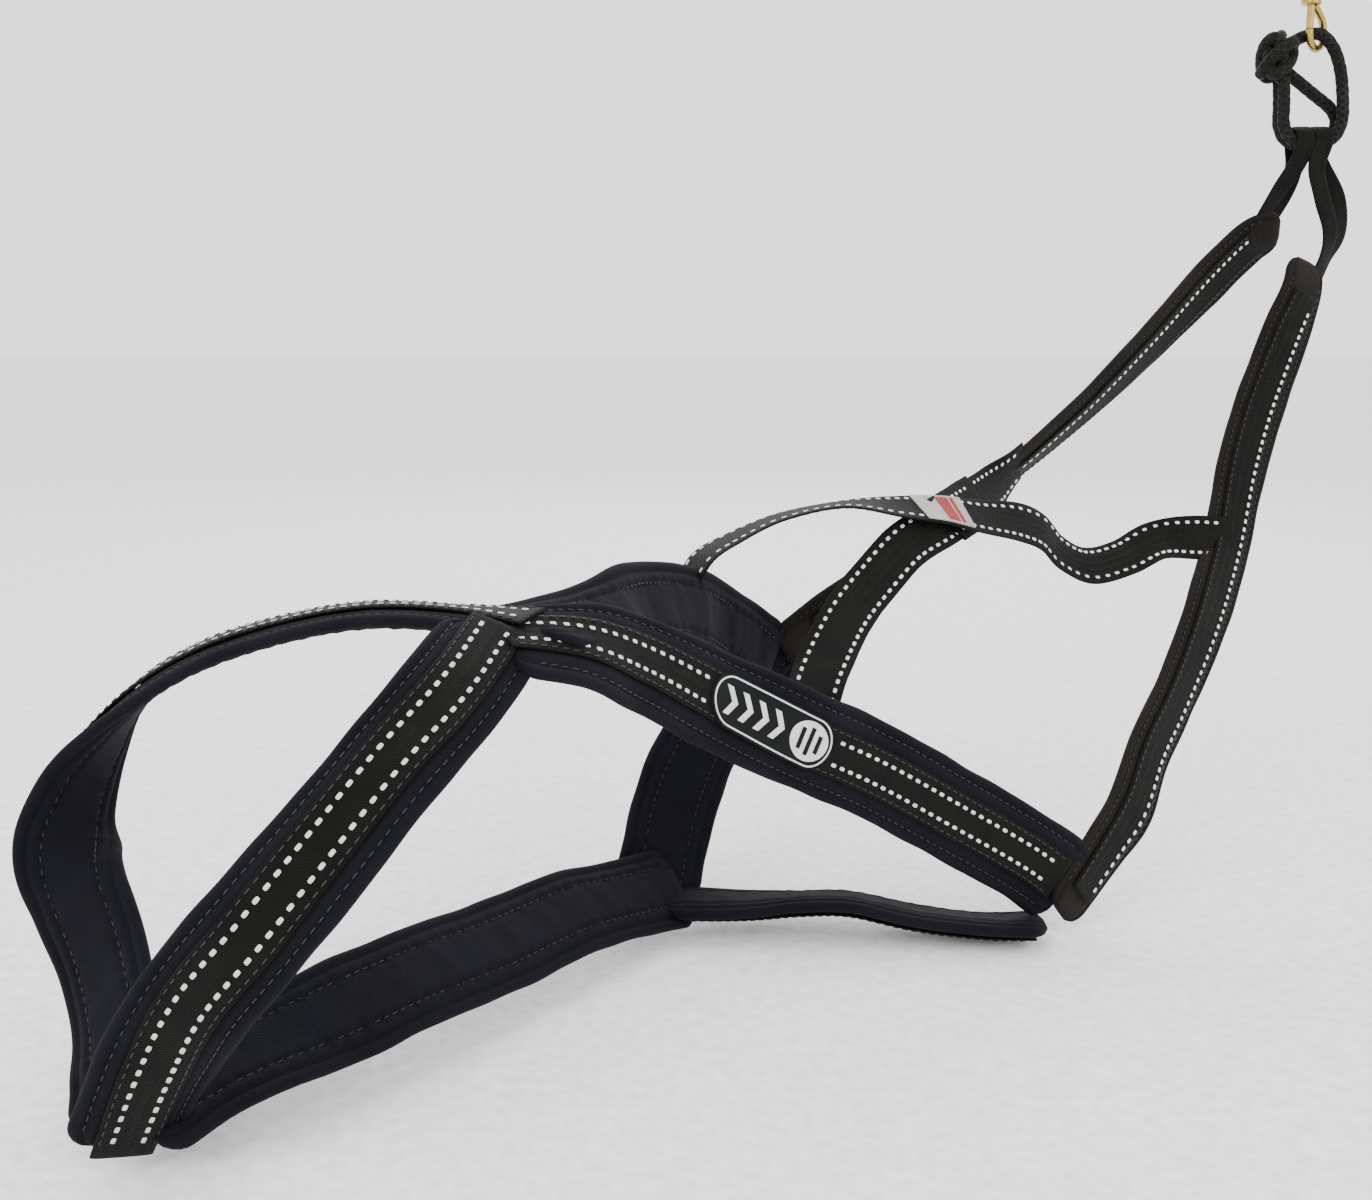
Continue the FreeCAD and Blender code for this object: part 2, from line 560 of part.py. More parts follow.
def make_snap_bolt():
    """Build the bolt with its head, and the thumb stud that stands out through the slot."""
    shank = cylinder("BoltShank", "Sizes.bolt_radius", HEAD_Z + " - %s + 1" % TIP_GAP, AXIS_X, TIP_GAP)
    head = cylinder("BoltHead", "Sizes.bolt_head_radius", "Sizes.bolt_head_length", AXIS_X, HEAD_Z)
    bolt = fuse("Bolt", [shank, head])
    bolt.Placement = snap_place()
    keep(bolt, "snap_bolt")
    middle = HEAD_Z + " + 0.5 * Sizes.bolt_head_length"
    back = FreeCAD.Rotation(V(0, 1, 0), -90)
    face = "-Sizes.hook_radius - Sizes.bolt_head_radius + 0.8"
    neck = DOC.addObject("Part::Cylinder", "StudNeck")
    bind(neck, Radius="Sizes.stud_radius", Height="Sizes.barrel_radius - Sizes.bolt_head_radius + 2.8")
    neck.Placement = FreeCAD.Placement(V(0, 0, 0), back)
    neck.setExpression("Placement.Base.x", face)
    neck.setExpression("Placement.Base.z", middle)
    cap = DOC.addObject("Part::Cylinder", "StudCap")
    bind(cap, Radius="Sizes.stud_head_radius", Height="1.8")
    cap.Placement = FreeCAD.Placement(V(0, 0, 0), back)
    cap.setExpression("Placement.Base.x", "-Sizes.hook_radius - Sizes.barrel_radius - 1.2")
    cap.setExpression("Placement.Base.z", middle)
    stud = fuse("Stud", [neck, cap])
    stud.Placement = snap_place()
    keep(stud, "snap_stud")


def make_snap_spring():
    """Build the spring between the bolt's head and the top of the cavity."""
    foot = size("barrel_foot") + 10 + size("bolt_head_length") + size("slide_clearance")
    top = size("barrel_foot") + 3 + size("barrel_length") - 12 - size("slide_clearance")
    wire = size("spring_wire_radius")
    height = top - foot - 2 * wire
    radius = size("bolt_head_radius") - wire
    helix = Part.makeHelix(height / SPRING_TURNS, height, radius)
    start = V(radius, 0, 0)
    ring = Part.Wire([Part.makeCircle(wire, start, V(0, 1, 0))])
    coil = Part.Wire(helix).makePipeShell([ring], True, True)
    spring = DOC.addObject("Part::Feature", "snap_spring")
    spring.Shape = coil
    seat = FreeCAD.Placement(V(-size("hook_radius"), 0, foot + wire), FreeCAD.Rotation())
    spring.Placement = snap_place().multiply(seat)
    keep(spring, "snap_spring")


def make_snap_eye():
    """Build the swivel eye: a headed stem in the barrel's top, and a flat eye with a round hole."""
    slide = "Sizes.slide_clearance"
    head = cylinder("StemHead", "Sizes.stem_radius + 1.3", SWIVEL_HEIGHT + " - 2 * " + slide, AXIS_X,
                    SWIVEL_Z + " + " + slide)
    stem = cylinder("Stem", "Sizes.stem_radius", "10", AXIS_X, SWIVEL_Z + " + 1")
    centre = SWIVEL_Z + " + 8 + Sizes.eye_outer_radius"
    lie = FreeCAD.Rotation(V(1, 0, 0), -90)
    discs = []
    for name, radius, length in (("EyeDisc", "Sizes.eye_outer_radius", "Sizes.eye_thickness"),
                                 ("EyeHole", "Sizes.eye_hole_radius", "Sizes.eye_thickness + 2")):
        disc = DOC.addObject("Part::Cylinder", name)
        bind(disc, Radius=radius, Height=length)
        disc.Placement = FreeCAD.Placement(V(0, 0, 0), lie)
        disc.setExpression("Placement.Base.x", AXIS_X)
        disc.setExpression("Placement.Base.y", "-0.5 * (%s)" % length)
        disc.setExpression("Placement.Base.z", centre)
        discs.append(disc)
    eye = cut("Eye", fuse("EyeSolid", [head, stem, discs[0]]), discs[1])
    eye.Placement = snap_place()
    keep(eye, "snap_eye")


# ---------------------------------------------------------------- build, check and write
def check_and_write():
    """Stop if any object failed, then write each sub-part to its own file."""
    DOC.recompute()
    for obj in DOC.Objects:
        if "Invalid" in obj.State or "Error" in obj.State:
            raise RuntimeError("%s failed: %s" % (obj.Label, obj.State))
    os.makedirs("parts", exist_ok=True)
    for obj in NODES:
        if obj.Shape.isNull() or not obj.Shape.isValid():
            raise RuntimeError("%s has no valid shape" % obj.Label)
        print("%s solids %d volume %.0f" % (obj.Label, len(obj.Shape.Solids), obj.Shape.Volume))
    for obj in NODES:
        obj.Shape.exportStep("parts/%s.step" % obj.Label)


make_pads()
make_sewn_webbing()
make_back_webbing()
make_label()
make_bight("loop_web_far", BIGHT_X_FAR, FAR_LOOP_FRONT, FAR_LOOP_BACK)
make_bight("loop_web_near", BIGHT_X_NEAR, NEAR_LOOP_FRONT, NEAR_LOOP_BACK)
make_ropes()
make_knot()
make_snap_body()
make_snap_bolt()
make_snap_spring()
make_snap_eye()
check_and_write()
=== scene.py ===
# %% [markdown]
# # A padded pulling harness for a dog
# The harness is a ring of padded bands, with webbing sewn on them, two webbings that cross over the
# spine, a rope loop and a brass snap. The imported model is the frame: every piece is made where it says.

# %% Load the frame
import math
import bpy
import numpy as np
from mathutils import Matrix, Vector


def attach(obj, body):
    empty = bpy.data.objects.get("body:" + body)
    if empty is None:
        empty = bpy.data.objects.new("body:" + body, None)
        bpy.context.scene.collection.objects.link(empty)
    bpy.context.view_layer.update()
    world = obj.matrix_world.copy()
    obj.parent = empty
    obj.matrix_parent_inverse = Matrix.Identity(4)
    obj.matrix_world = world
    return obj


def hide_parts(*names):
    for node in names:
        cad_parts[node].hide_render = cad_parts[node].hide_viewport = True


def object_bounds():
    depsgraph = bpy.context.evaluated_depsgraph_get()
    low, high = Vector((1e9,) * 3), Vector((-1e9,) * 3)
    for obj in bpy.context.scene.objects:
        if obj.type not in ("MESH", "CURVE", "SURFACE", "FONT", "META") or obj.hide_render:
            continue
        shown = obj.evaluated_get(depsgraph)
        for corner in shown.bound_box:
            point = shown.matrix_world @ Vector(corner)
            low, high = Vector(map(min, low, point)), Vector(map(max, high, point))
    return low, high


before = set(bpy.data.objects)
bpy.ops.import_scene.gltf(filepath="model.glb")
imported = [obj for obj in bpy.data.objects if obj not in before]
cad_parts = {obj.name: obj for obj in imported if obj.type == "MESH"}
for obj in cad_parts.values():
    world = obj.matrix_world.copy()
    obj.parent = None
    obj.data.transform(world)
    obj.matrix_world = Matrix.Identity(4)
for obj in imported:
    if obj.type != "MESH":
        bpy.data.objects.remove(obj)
CAD_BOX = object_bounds()
MM = 0.001
LOW, HIGH = (np.array(CAD_BOX[0]), np.array(CAD_BOX[1]))
print("frame", [round(float(v), 3) for v in HIGH - LOW])

# %% [markdown]
# ## Camera, floor and light
# The harness hangs from its snap with its chest piece just on the floor. A large plain floor under a
# pale sky keeps the background quiet, and three soft panels show the folds of very dark cloth.

# %% Camera, floor and light
CAMERA_PLACE = (0.190, -0.515, 0.190)
CAMERA_DOWN = math.radians(10)
SENSOR = 36.0
FOCAL = 39.36
FLOOR_SIZE = 40.0
FLOOR_GAP = 0.001
SKY_STRENGTH = 1.9
PANELS = [
    ("key", (-0.7, -1.3, 1.5), 1.2, 22),
    ("fill", (1.6, -1.0, 0.9), 1.4, 12),
    ("rim", (0.3, 1.8, 1.3), 1.2, 14),
]


def make_camera():
    """Add the camera that looks along +Y, tipped down a little."""
    data = bpy.data.cameras.new("camera")
    data.lens = FOCAL
    data.sensor_width = SENSOR
    data.clip_start = 0.01
    camera = bpy.data.objects.new("camera", data)
    camera.location = CAMERA_PLACE
    camera.rotation_euler = (math.pi / 2 - CAMERA_DOWN, 0, 0)
    bpy.context.collection.objects.link(camera)
    bpy.context.scene.camera = camera


def make_panel(name, place, aim, width, power):
    """Add a square light panel that faces a point."""
    data = bpy.data.lights.new(name, "AREA")
    data.size = width
    data.energy = power
    lamp = bpy.data.objects.new(name, data)
    lamp.location = place
    lamp.rotation_euler = (Vector(aim) - Vector(place)).to_track_quat("-Z", "Y").to_euler()
    bpy.context.collection.objects.link(lamp)


def make_world(strength):
    """Give the sky one pale colour."""
    world = bpy.data.worlds.new("sky")
    world.use_nodes = True
    sky = world.node_tree.nodes["Background"]
    sky.inputs["Color"].default_value = (1.0, 1.0, 1.0, 1.0)
    sky.inputs["Strength"].default_value = strength
    bpy.context.scene.world = world


make_camera()
make_world(SKY_STRENGTH)
for title, place, width, power in PANELS:
    make_panel(title, place, (LOW + HIGH) / 2, width, power)

# %% [markdown]
# ## Finishes
# Black fabric has little colour, so what the eye reads is the weave, the creases and the light along an
# edge. The cloth, the webbing and the rope read the piece's own UV map: U runs round or across the piece and
# V along it in metres, so a weave follows every bend. On a rope, U is the share of a turn. Thread, print and
# metal only need a fine grain, so they read the piece's own coordinates.

# %% Helpers for finishes
def new_finish(name):
    """Start a material and return it with its tree and its shader."""
    mat = bpy.data.materials.new(name)
    mat.use_nodes = True
    return mat, mat.node_tree, mat.node_tree.nodes["Principled BSDF"]


def math_node(tree, operation, a, b=None):
    """Add a Math node whose inputs are sockets or numbers."""
    made = tree.nodes.new("ShaderNodeMath")
    made.operation = operation
    for i, value in enumerate((a, b)):
        if value is None:
            continue
        if isinstance(value, (int, float)):
            made.inputs[i].default_value = value
        else:
            tree.links.new(value, made.inputs[i])
    return made.outputs[0]


def uv_parts(tree):
    """Return the U and V sockets of the piece's own map."""
    uv = tree.nodes.new("ShaderNodeUVMap")
    uv.uv_map = "UVMap"
    split = tree.nodes.new("ShaderNodeSeparateXYZ")
    tree.links.new(uv.outputs[0], split.inputs[0])
    return split.outputs[0], split.outputs[1]


def object_noise(tree, scale, detail=3.0):
    """Return a noise socket on the piece's own coordinates."""
    where = tree.nodes.new("ShaderNodeTexCoord")
    made = tree.nodes.new("ShaderNodeTexNoise")
    made.inputs["Scale"].default_value = scale
    made.inputs["Detail"].default_value = detail
    tree.links.new(where.outputs["Object"], made.inputs["Vector"])
    return made.outputs["Fac"]


def colour_between(tree, factor, dark, light):
    """Blend two colours by a socket."""
    ramp = tree.nodes.new("ShaderNodeValToRGB")
    ramp.color_ramp.elements[0].position = 0.3
    ramp.color_ramp.elements[1].position = 0.7
    ramp.color_ramp.elements[0].color = (*dark, 1)
    ramp.color_ramp.elements[1].color = (*light, 1)
    tree.links.new(factor, ramp.inputs["Fac"])
    return ramp.outputs["Color"]


def add_bump(tree, shader, height, strength, distance):
    """Send a height to the shader's normal."""
    bump = tree.nodes.new("ShaderNodeBump")
    bump.inputs["Strength"].default_value = strength
    bump.inputs["Distance"].default_value = distance
    tree.links.new(height, bump.inputs["Height"])
    tree.links.new(bump.outputs["Normal"], shader.inputs["Normal"])


def cloth_finish(name, dark, light, pitch, strength, sheen):
    """Make a matt woven cloth: two crossed sets of threads, slow creases and a soft sheen."""
    mat, tree, shader = new_finish(name)
    u, v = uv_parts(tree)
    across = math_node(tree, "SINE", math_node(tree, "MULTIPLY", u, 2 * math.pi / pitch))
    along = math_node(tree, "SINE", math_node(tree, "MULTIPLY", v, 2 * math.pi / pitch))
    weave = math_node(tree, "MULTIPLY", across, along)
    crease = object_noise(tree, 55.0, 4.0)
    height = math_node(tree, "ADD", math_node(tree, "MULTIPLY", weave, 0.12), crease)
    add_bump(tree, shader, height, strength, 0.0012)
    faded = colour_between(tree, object_noise(tree, 24.0), dark, light)
    tree.links.new(faded, shader.inputs["Base Color"])
    shader.inputs["Roughness"].default_value = 0.86
    shader.inputs["Sheen Weight"].default_value = sheen
    shader.inputs["Sheen Roughness"].default_value = 0.45
    shader.inputs["Specular IOR Level"].default_value = 0.12
    return mat


YARN_COLUMN = 0.0022
YARN_PITCH = 0.0011
BRAID_PITCH = 0.0042
BRAID_STRANDS = 4


def webbing_finish(name, dark, light):
    """Make ribbed webbing: short slanted yarns in columns, with a painted highlight on their crests and a
    random tone.
    """
    mat, tree, shader = new_finish(name)
    u, v = uv_parts(tree)
    column = math_node(tree, "PINGPONG", math_node(tree, "MULTIPLY", u, 1 / YARN_COLUMN), 1.0)
    slanted = math_node(tree, "ADD", math_node(tree, "MULTIPLY", v, 1 / YARN_PITCH), column)
    rib = math_node(tree, "SINE", math_node(tree, "MULTIPLY", slanted, 2 * math.pi))
    crest = math_node(tree, "MULTIPLY_ADD", rib, 0.5)
    crest.node.inputs[2].default_value = 0.5
    # Painted highlight: the yarn crests are painted lighter, mottled by a random tone.
    tone_blend = math_node(tree, "MULTIPLY", crest, object_noise(tree, 90.0))
    add_bump(tree, shader, crest, 0.65, 0.0006)
    tree.links.new(colour_between(tree, tone_blend, dark, light), shader.inputs["Base Color"])
    shader.inputs["Roughness"].default_value = 0.62
    shader.inputs["Sheen Weight"].default_value = 0.02
    shader.inputs["Specular IOR Level"].default_value = 0.09
    return mat


def rope_finish(name, dark, light):
    """Make a braided cover: strands that run round both ways and cross."""
    mat, tree, shader = new_finish(name)
    u, v = uv_parts(tree)
    along = math_node(tree, "MULTIPLY", v, 2 * math.pi / BRAID_PITCH)
    turned = math_node(tree, "MULTIPLY", u, BRAID_STRANDS * 2 * math.pi)
    one = math_node(tree, "SINE", math_node(tree, "ADD", along, turned))
    two = math_node(tree, "SINE", math_node(tree, "SUBTRACT", along, turned))
    cover = math_node(tree, "MAXIMUM", one, two)
    add_bump(tree, shader, cover, 0.7, 0.0006)
    # Painted highlight: the raised strands are painted lighter, mottled by a random tone.
    tone_blend = math_node(tree, "MULTIPLY", cover, object_noise(tree, 120.0))
    tree.links.new(colour_between(tree, tone_blend, dark, light), shader.inputs["Base Color"])
    shader.inputs["Roughness"].default_value = 0.7
    shader.inputs["Sheen Weight"].default_value = 0.02
    shader.inputs["Specular IOR Level"].default_value = 0.14
    return mat


def grained(name, colour, rough, grain=900.0, strength=0.25, metal=0.0):
    """Make an even finish with a little grain, for thread, print, tape, metal and the floor."""
    mat, tree, shader = new_finish(name)
    grey = object_noise(tree, grain, 2.0)
    add_bump(tree, shader, grey, strength, 0.0003)
    tone_blend = colour_between(tree, object_noise(tree, 160.0), tuple(c * 0.82 for c in colour), colour)
    tree.links.new(tone_blend, shader.inputs["Base Color"])
    shader.inputs["Roughness"].default_value = rough
    shader.inputs["Metallic"].default_value = metal
    return mat


# %% Finishes
PAD = cloth_finish("pad_cloth", (0.0020, 0.0022, 0.0042), (0.0050, 0.0052, 0.0090), 0.0011, 0.80, 0.015)
LINING = cloth_finish("rear_cloth", (0.0048, 0.0038, 0.0030), (0.0105, 0.0085, 0.0065), 0.0010, 0.6, 0.02)
WEB = webbing_finish("ribbed_webbing", (0.0012, 0.0012, 0.0008), (0.0075, 0.0072, 0.0042))
ROPE = rope_finish("braided_rope", (0.0030, 0.0026, 0.0020), (0.0150, 0.0130, 0.0100))
REFLECT = grained("reflective_thread", (0.62, 0.63, 0.60), 0.38)
THREAD = grained("black_thread", (0.0075, 0.0075, 0.0095), 0.6)
PRINT = grained("pale_print", (0.62, 0.62, 0.60), 0.55)
PATCH = cloth_finish("patch_cloth", (0.0045, 0.0055, 0.0055), (0.0080, 0.0100, 0.0100), 0.0006, 0.35, 0.01)
TAPE = grained("satin_tape", (0.34, 0.335, 0.31), 0.42)
RED = grained("red_yarn", (0.27, 0.006, 0.008), 0.6)
BRASS = grained("polished_brass", (0.43, 0.30, 0.075), 0.26, 420.0, 0.12, 1.0)
STEEL = grained("spring_wire", (0.60, 0.60, 0.60), 0.3, 300.0, 0.08, 1.0)
FLOOR = grained("studio_floor", (0.99, 0.99, 0.99), 1.0, 30.0, 0.02)
print("finishes", len(bpy.data.materials))


# %% [markdown]
# ## Floor
# The floor is one very large plain face just under the lowest band, so no edge of it is ever seen.

# %% Floor
def make_floor():
    """Lay the plain floor under the lowest pad."""
    half = FLOOR_SIZE / 2
    z = float(LOW[2]) - FLOOR_GAP
    mesh = bpy.data.meshes.new("floor")
    corners = [(-half, -half, z), (half, -half, z), (half, half, z), (-half, half, z)]
    mesh.from_pydata(corners, [], [(0, 1, 2, 3)])
    mesh.materials.append(FLOOR)
    floor = bpy.data.objects.new("floor", mesh)
    bpy.context.collection.objects.link(floor)


make_floor()

# %% [markdown]
# ## Straps as stations
# A strap that bends and twists in the air is easiest to hold as a short list of stations: the middle of
# the strap and the direction across it. A smooth curve through the stations gives a frame anywhere along
# the strap, and every pad, webbing, stitch and patch is placed in those frames.

# %% Stations of the bands, in millimetres
NECK_NEAR = [
    (119, 38, 80, 0.9, -0.1, -0.3), (106, 6, 64, 0.8, -0.1, -0.5), (88, -21, 44, 0.9, -0.3, -0.4),
    (67, -38, 19, 0.8, -0.3, -0.5), (47, -47, -4, 0.8, -0.1, -0.6), (27, -46, -28, 0.8, -0.1, -0.6),
    (9, -40, -55, 0.6, 0.4, -0.7), (-8, -32, -88, 0.3, 0.6, -0.8),
]
NECK_FAR = [
    (132, 46, 80, 0.1, 1.0, 0.1), (102, 57, 81, -0.1, 1.0, -0.1), (65, 69, 80, -0.2, 1.0, -0.1),
    (30, 78, 73, -0.3, 0.9, -0.1), (-4, 81, 62, -0.3, 0.9, -0.1), (-31, 79, 46, -0.2, 1.0, -0.1),
    (-47, 72, 25, 0.2, 0.9, -0.2), (-55, 62, 5, 0.5, 0.7, -0.5), (-54, 51, -12, 0.9, 0.3, -0.1),
    (-46, 40, -25, 0.9, 0.0, 0.3), (-33, 25, -42, 0.9, -0.2, 0.3), (-22, 7, -61, 0.9, -0.3, 0.3),
    (-15, -10, -73, 0.9, -0.3, 0.1), (-11, -24, -85, 0.9, -0.4, -0.1),
]
CHEST = [
    (-4, -28, -81, 0.5, -0.8, -0.4), (22, 0, -75, 0.4, -0.9, -0.3), (54, 30, -69, 0.4, -0.7, -0.6),
    (81, 63, -68, 0.4, -0.7, -0.6), (109, 99, -70, 0.4, -0.7, -0.6), (139, 140, -71, 0.5, -0.7, -0.6),
    (165, 171, -76, 0.5, -0.7, -0.6), (187, 194, -79, 0.5, -0.4, -0.7),
]
BELLY_NEAR = [
    (180, 182, -83, 0.1, 1.0, 0.0), (218, 185, -85, 0.0, 1.0, -0.1), (246, 183, -83, 0.1, 1.0, -0.2),
    (270, 180, -82, 0.1, 1.0, -0.2), (301, 175, -87, 0.2, 1.0, -0.2), (333, 172, -90, 0.2, 1.0, -0.2),
    (363, 169, -89, 0.4, 0.9, -0.1),
]
BELLY_FAR = [
    (175, 196, -83, 1.0, 0.0, -0.3), (179, 208, -66, 0.9, 0.2, -0.3), (184, 222, -48, 1.0, 0.1, -0.2),
    (193, 238, -27, 0.9, 0.2, -0.3), (208, 251, -4, 0.9, 0.3, -0.4), (224, 261, 16, 0.8, 0.3, -0.5),
    (243, 268, 34, 0.7, 0.4, -0.6),
]
SIDE_FAR = [
    (128, 44, 81, 0.2, -1.0, 0.0), (159, 94, 74, 0.1, -0.9, -0.3), (174, 139, 71, 0.0, -0.8, -0.6),
    (195, 183, 61, -0.1, -0.7, -0.7), (214, 226, 42, -0.3, -0.7, -0.6), (236, 257, 20, -0.5, -0.6, -0.6),
]
SIDE_NEAR = [
    (120, 35, 77, 0.2, -0.9, -0.3), (150, 51, 72, 0.0, -0.9, -0.5), (174, 74, 59, -0.3, -0.8, -0.5),
    (206, 100, 37, -0.4, -0.6, -0.7), (239, 121, 17, -0.5, -0.3, -0.8), (275, 141, -4, -0.5, -0.2, -0.9),
    (314, 159, -30, -0.5, -0.2, -0.9), (353, 173, -56, -0.5, -0.2, -0.9), (376, 180, -74, -0.6, -0.1, -0.8),
]
REAR_NEAR = [
    (371, 175, -86, 0.6, 0.5, -0.5), (396, 191, -58, 0.8, 0.5, -0.4), (412, 205, -42, 0.8, 0.4, -0.4),
    (426, 225, -19, 0.8, 0.5, -0.3), (445, 249, 3, 0.8, 0.5, -0.3), (469, 280, 36, 0.9, 0.4, -0.3),
    (491, 315, 72, 0.9, 0.3, -0.2), (506, 340, 112, 1.0, 0.2, -0.1), (522, 361, 148, 1.0, 0.1, -0.1),
    (541, 379, 188, 1.0, 0.2, -0.1), (554, 390, 216, 0.9, 0.4, -0.2), (557, 396, 234, 0.8, 0.5, -0.1),
]
REAR_FAR = [
    (548, 415, 253, 0.6, 0.6, -0.5), (529, 411, 245, 0.7, 0.5, -0.5), (501, 399, 221, 0.7, 0.5, -0.5),
    (464, 380, 187, 0.6, 0.7, -0.4), (427, 358, 156, 0.5, 0.8, -0.3), (398, 343, 134, 0.5, 0.9, -0.2),
    (374, 330, 117, 0.4, 0.9, -0.2), (346, 316, 97, 0.4, 0.9, -0.3), (317, 302, 77, 0.4, 0.8, -0.4),
    (291, 288, 59, 0.5, 0.7, -0.6), (264, 273, 42, 0.4, 0.5, -0.8), (242, 260, 25, 0.5, 0.2, -0.9),
]
BACK_TO_FAR = [
    (243, 126, 17, 0.8, 0.3, -0.4), (247, 137, 32, 0.8, 0.0, -0.3), (253, 152, 43, 0.9, -0.2, -0.3),
    (266, 178, 60, 0.8, -0.1, -0.5), (281, 198, 74, 0.7, -0.1, -0.6), (299, 216, 89, 0.8, 0.0, -0.5),
    (319, 235, 97, 0.8, 0.1, -0.5), (341, 273, 103, 0.7, 0.4, -0.5), (361, 306, 110, 0.6, 0.6, -0.4),
    (377, 323, 121, 0.5, 0.8, -0.3),
]
BACK_TO_NEAR = [
    (190, 196, 72, 0.4, -0.9, 0.0), (198, 198, 85, 0.4, -0.9, 0.0), (212, 205, 93, 0.3, -0.9, 0.0),
    (236, 211, 103, 0.1, -1.0, 0.0), (266, 219, 108, -0.1, -1.0, 0.0), (295, 227, 106, -0.3, -0.9, -0.2),
    (320, 238, 103, -0.3, -0.9, -0.3), (343, 250, 98, -0.2, -0.9, -0.5), (364, 262, 94, -0.2, -0.7, -0.6),
    (378, 270, 88, -0.2, -0.7, -0.6), (390, 277, 76, -0.3, -0.8, -0.5), (407, 284, 68, -0.2, -0.8, -0.6),
    (428, 293, 71, -0.1, -0.8, -0.6), (449, 303, 79, -0.1, -0.7, -0.7), (470, 308, 80, -0.1, -0.4, -0.9),
    (495, 314, 78, -0.1, -0.2, -1.0),
]
TUG_Y = 420.0
BIGHT_Z = 303.0
BIGHT_REACH = 9.5
BIGHT_X_FAR = 558.5
BIGHT_X_NEAR = 569.5
FAR_LOOP_FRONT = [
    (554, 409, 291, 1.0, 0.1, 0.2), (544, 408, 276, 0.9, 0.2, 0.4), (534, 409, 259, 0.8, 0.4, 0.4),
]
FAR_LOOP_BACK = [
    (560, 430, 291, 1.0, -0.1, -0.2), (556, 429, 278, 0.9, 0.0, -0.4), (545, 422, 261, 0.8, 0.3, -0.5),
]
NEAR_LOOP_FRONT = [
    (565, 408, 288, 1.0, 0.1, 0.0), (568, 404, 270, 1.0, 0.2, 0.2), (573, 402, 252, 0.9, 0.3, 0.3),
    (571, 402, 236, 0.8, 0.6, 0.1), (564, 400, 220, 0.8, 0.5, -0.2), (558, 396, 206, 0.8, 0.5, -0.2),
]
NEAR_LOOP_BACK = [
    (577, 430, 291, 1.0, -0.1, 0.3), (585, 424, 272, 1.0, 0.0, 0.1), (583, 414, 252, 0.9, 0.3, 0.0),
    (574, 407, 236, 0.8, 0.6, 0.0), (566, 404, 219, 0.8, 0.5, -0.2), (560, 400, 205, 0.8, 0.5, -0.2),
]


def loop_stations(middle_x, front, back):
    """Join a bight's front leg, its turn over the rope and its back leg."""
    turn = []
    for degrees in (-90, -45, 0, 45, 90):
        y = TUG_Y + BIGHT_REACH * math.sin(math.radians(degrees))
        z = BIGHT_Z + BIGHT_REACH * math.cos(math.radians(degrees))
        turn.append((middle_x, y, z, 1, 0, 0))
    return list(reversed(front)) + turn + back


# %% [markdown]
# ## Frames along a strap
# A strap has a middle line, a direction across it, and a direction out of its face. Keeping the three
# together at even steps of length lets any piece be placed as "so far along, so far across, so far out".

# %% Frames along a strap
STEPS_PER_STATION = 24


class Run:
    """The smooth line of a strap, with its directions across and out, at even steps of length."""

    def __init__(self, stations, spacing):
        rows = np.array(stations, float)
        rows[:, :3] *= MM
        fine = self.curve(rows, STEPS_PER_STATION)
        steps = np.linalg.norm(np.diff(fine[:, :3], axis=0), axis=1)
        arc = np.concatenate([[0], np.cumsum(steps)])
        count = max(8, int(round(arc[-1] / spacing)) + 1)
        self.s = np.linspace(0, arc[-1], count)
        even = np.stack([np.interp(self.s, arc, fine[:, i]) for i in range(6)], 1)
        self.p = even[:, :3]
        tangent = np.gradient(self.p, axis=0)
        self.t = tangent / np.linalg.norm(tangent, axis=1)[:, None]
        across = even[:, 3:] - (even[:, 3:] * self.t).sum(1)[:, None] * self.t
        self.a = across / np.linalg.norm(across, axis=1)[:, None]
        self.n = np.cross(self.t, self.a)

    @staticmethod
    def curve(rows, steps):
        """Return a Catmull-Rom curve through rows."""
        ends = np.vstack([2 * rows[0] - rows[1], rows, 2 * rows[-1] - rows[-2]])
        out = []
        for i in range(1, len(ends) - 2):
            a, b, c, d = ends[i - 1:i + 3]
            t = (np.arange(steps) / steps)[:, None]
            square = (2 * a - 5 * b + 4 * c - d) * t ** 2
            cube = (3 * b - a - 3 * c + d) * t ** 3
            out.append(0.5 * (2 * b + (c - a) * t + square + cube))
        out.append(rows[-1:])
        return np.vstack(out)

    def at(self, s, across=0.0, out=0.0):
        """Return the points at lengths s, moved across and out."""
        parts = []
        for field in (self.p, self.a, self.n):
            parts.append(np.stack([np.interp(s, self.s, field[:, i]) for i in range(3)], -1))
        across = np.asarray(across)[..., None]
        out = np.asarray(out)[..., None]
        return parts[0] + parts[1] * across + parts[2] * out

    def way(self, s, side):
        """Return the directions along and out at lengths s."""
        t = np.stack([np.interp(s, self.s, self.t[:, i]) for i in range(3)], -1)
        n = np.stack([np.interp(s, self.s, self.n[:, i]) for i in range(3)], -1)
        return t, n * side


def wobble(s, seed, period):
    """Return a smooth uneven wave along a length, the same each time for a seed."""
    phase = seed * 1.7
    wave = np.sin(2 * math.pi * s / period + phase)
    quick = 0.6 * np.sin(2 * math.pi * s / (period * 0.61) + 2.1 * phase)
    slow = 0.4 * np.sin(2 * math.pi * s / (period * 1.73) + 0.7 * phase)
    return (wave + quick + slow) / 2


# %% [markdown]
# ## A skin over rings
# Bands, webbings and ropes are all one kind of form: a closed section carried along a line. One helper
# joins rings of points into a closed tube, caps both ends, and lays the UV map.

# %% Skin a grid of rings
def link(name, mesh, material):
    """Put a finished mesh in the scene with its finish and smooth faces."""
    mesh.materials.append(material)
    mesh.polygons.foreach_set("use_smooth", [True] * len(mesh.polygons))
    obj = bpy.data.objects.new(name, mesh)
    bpy.context.collection.objects.link(obj)
    return obj


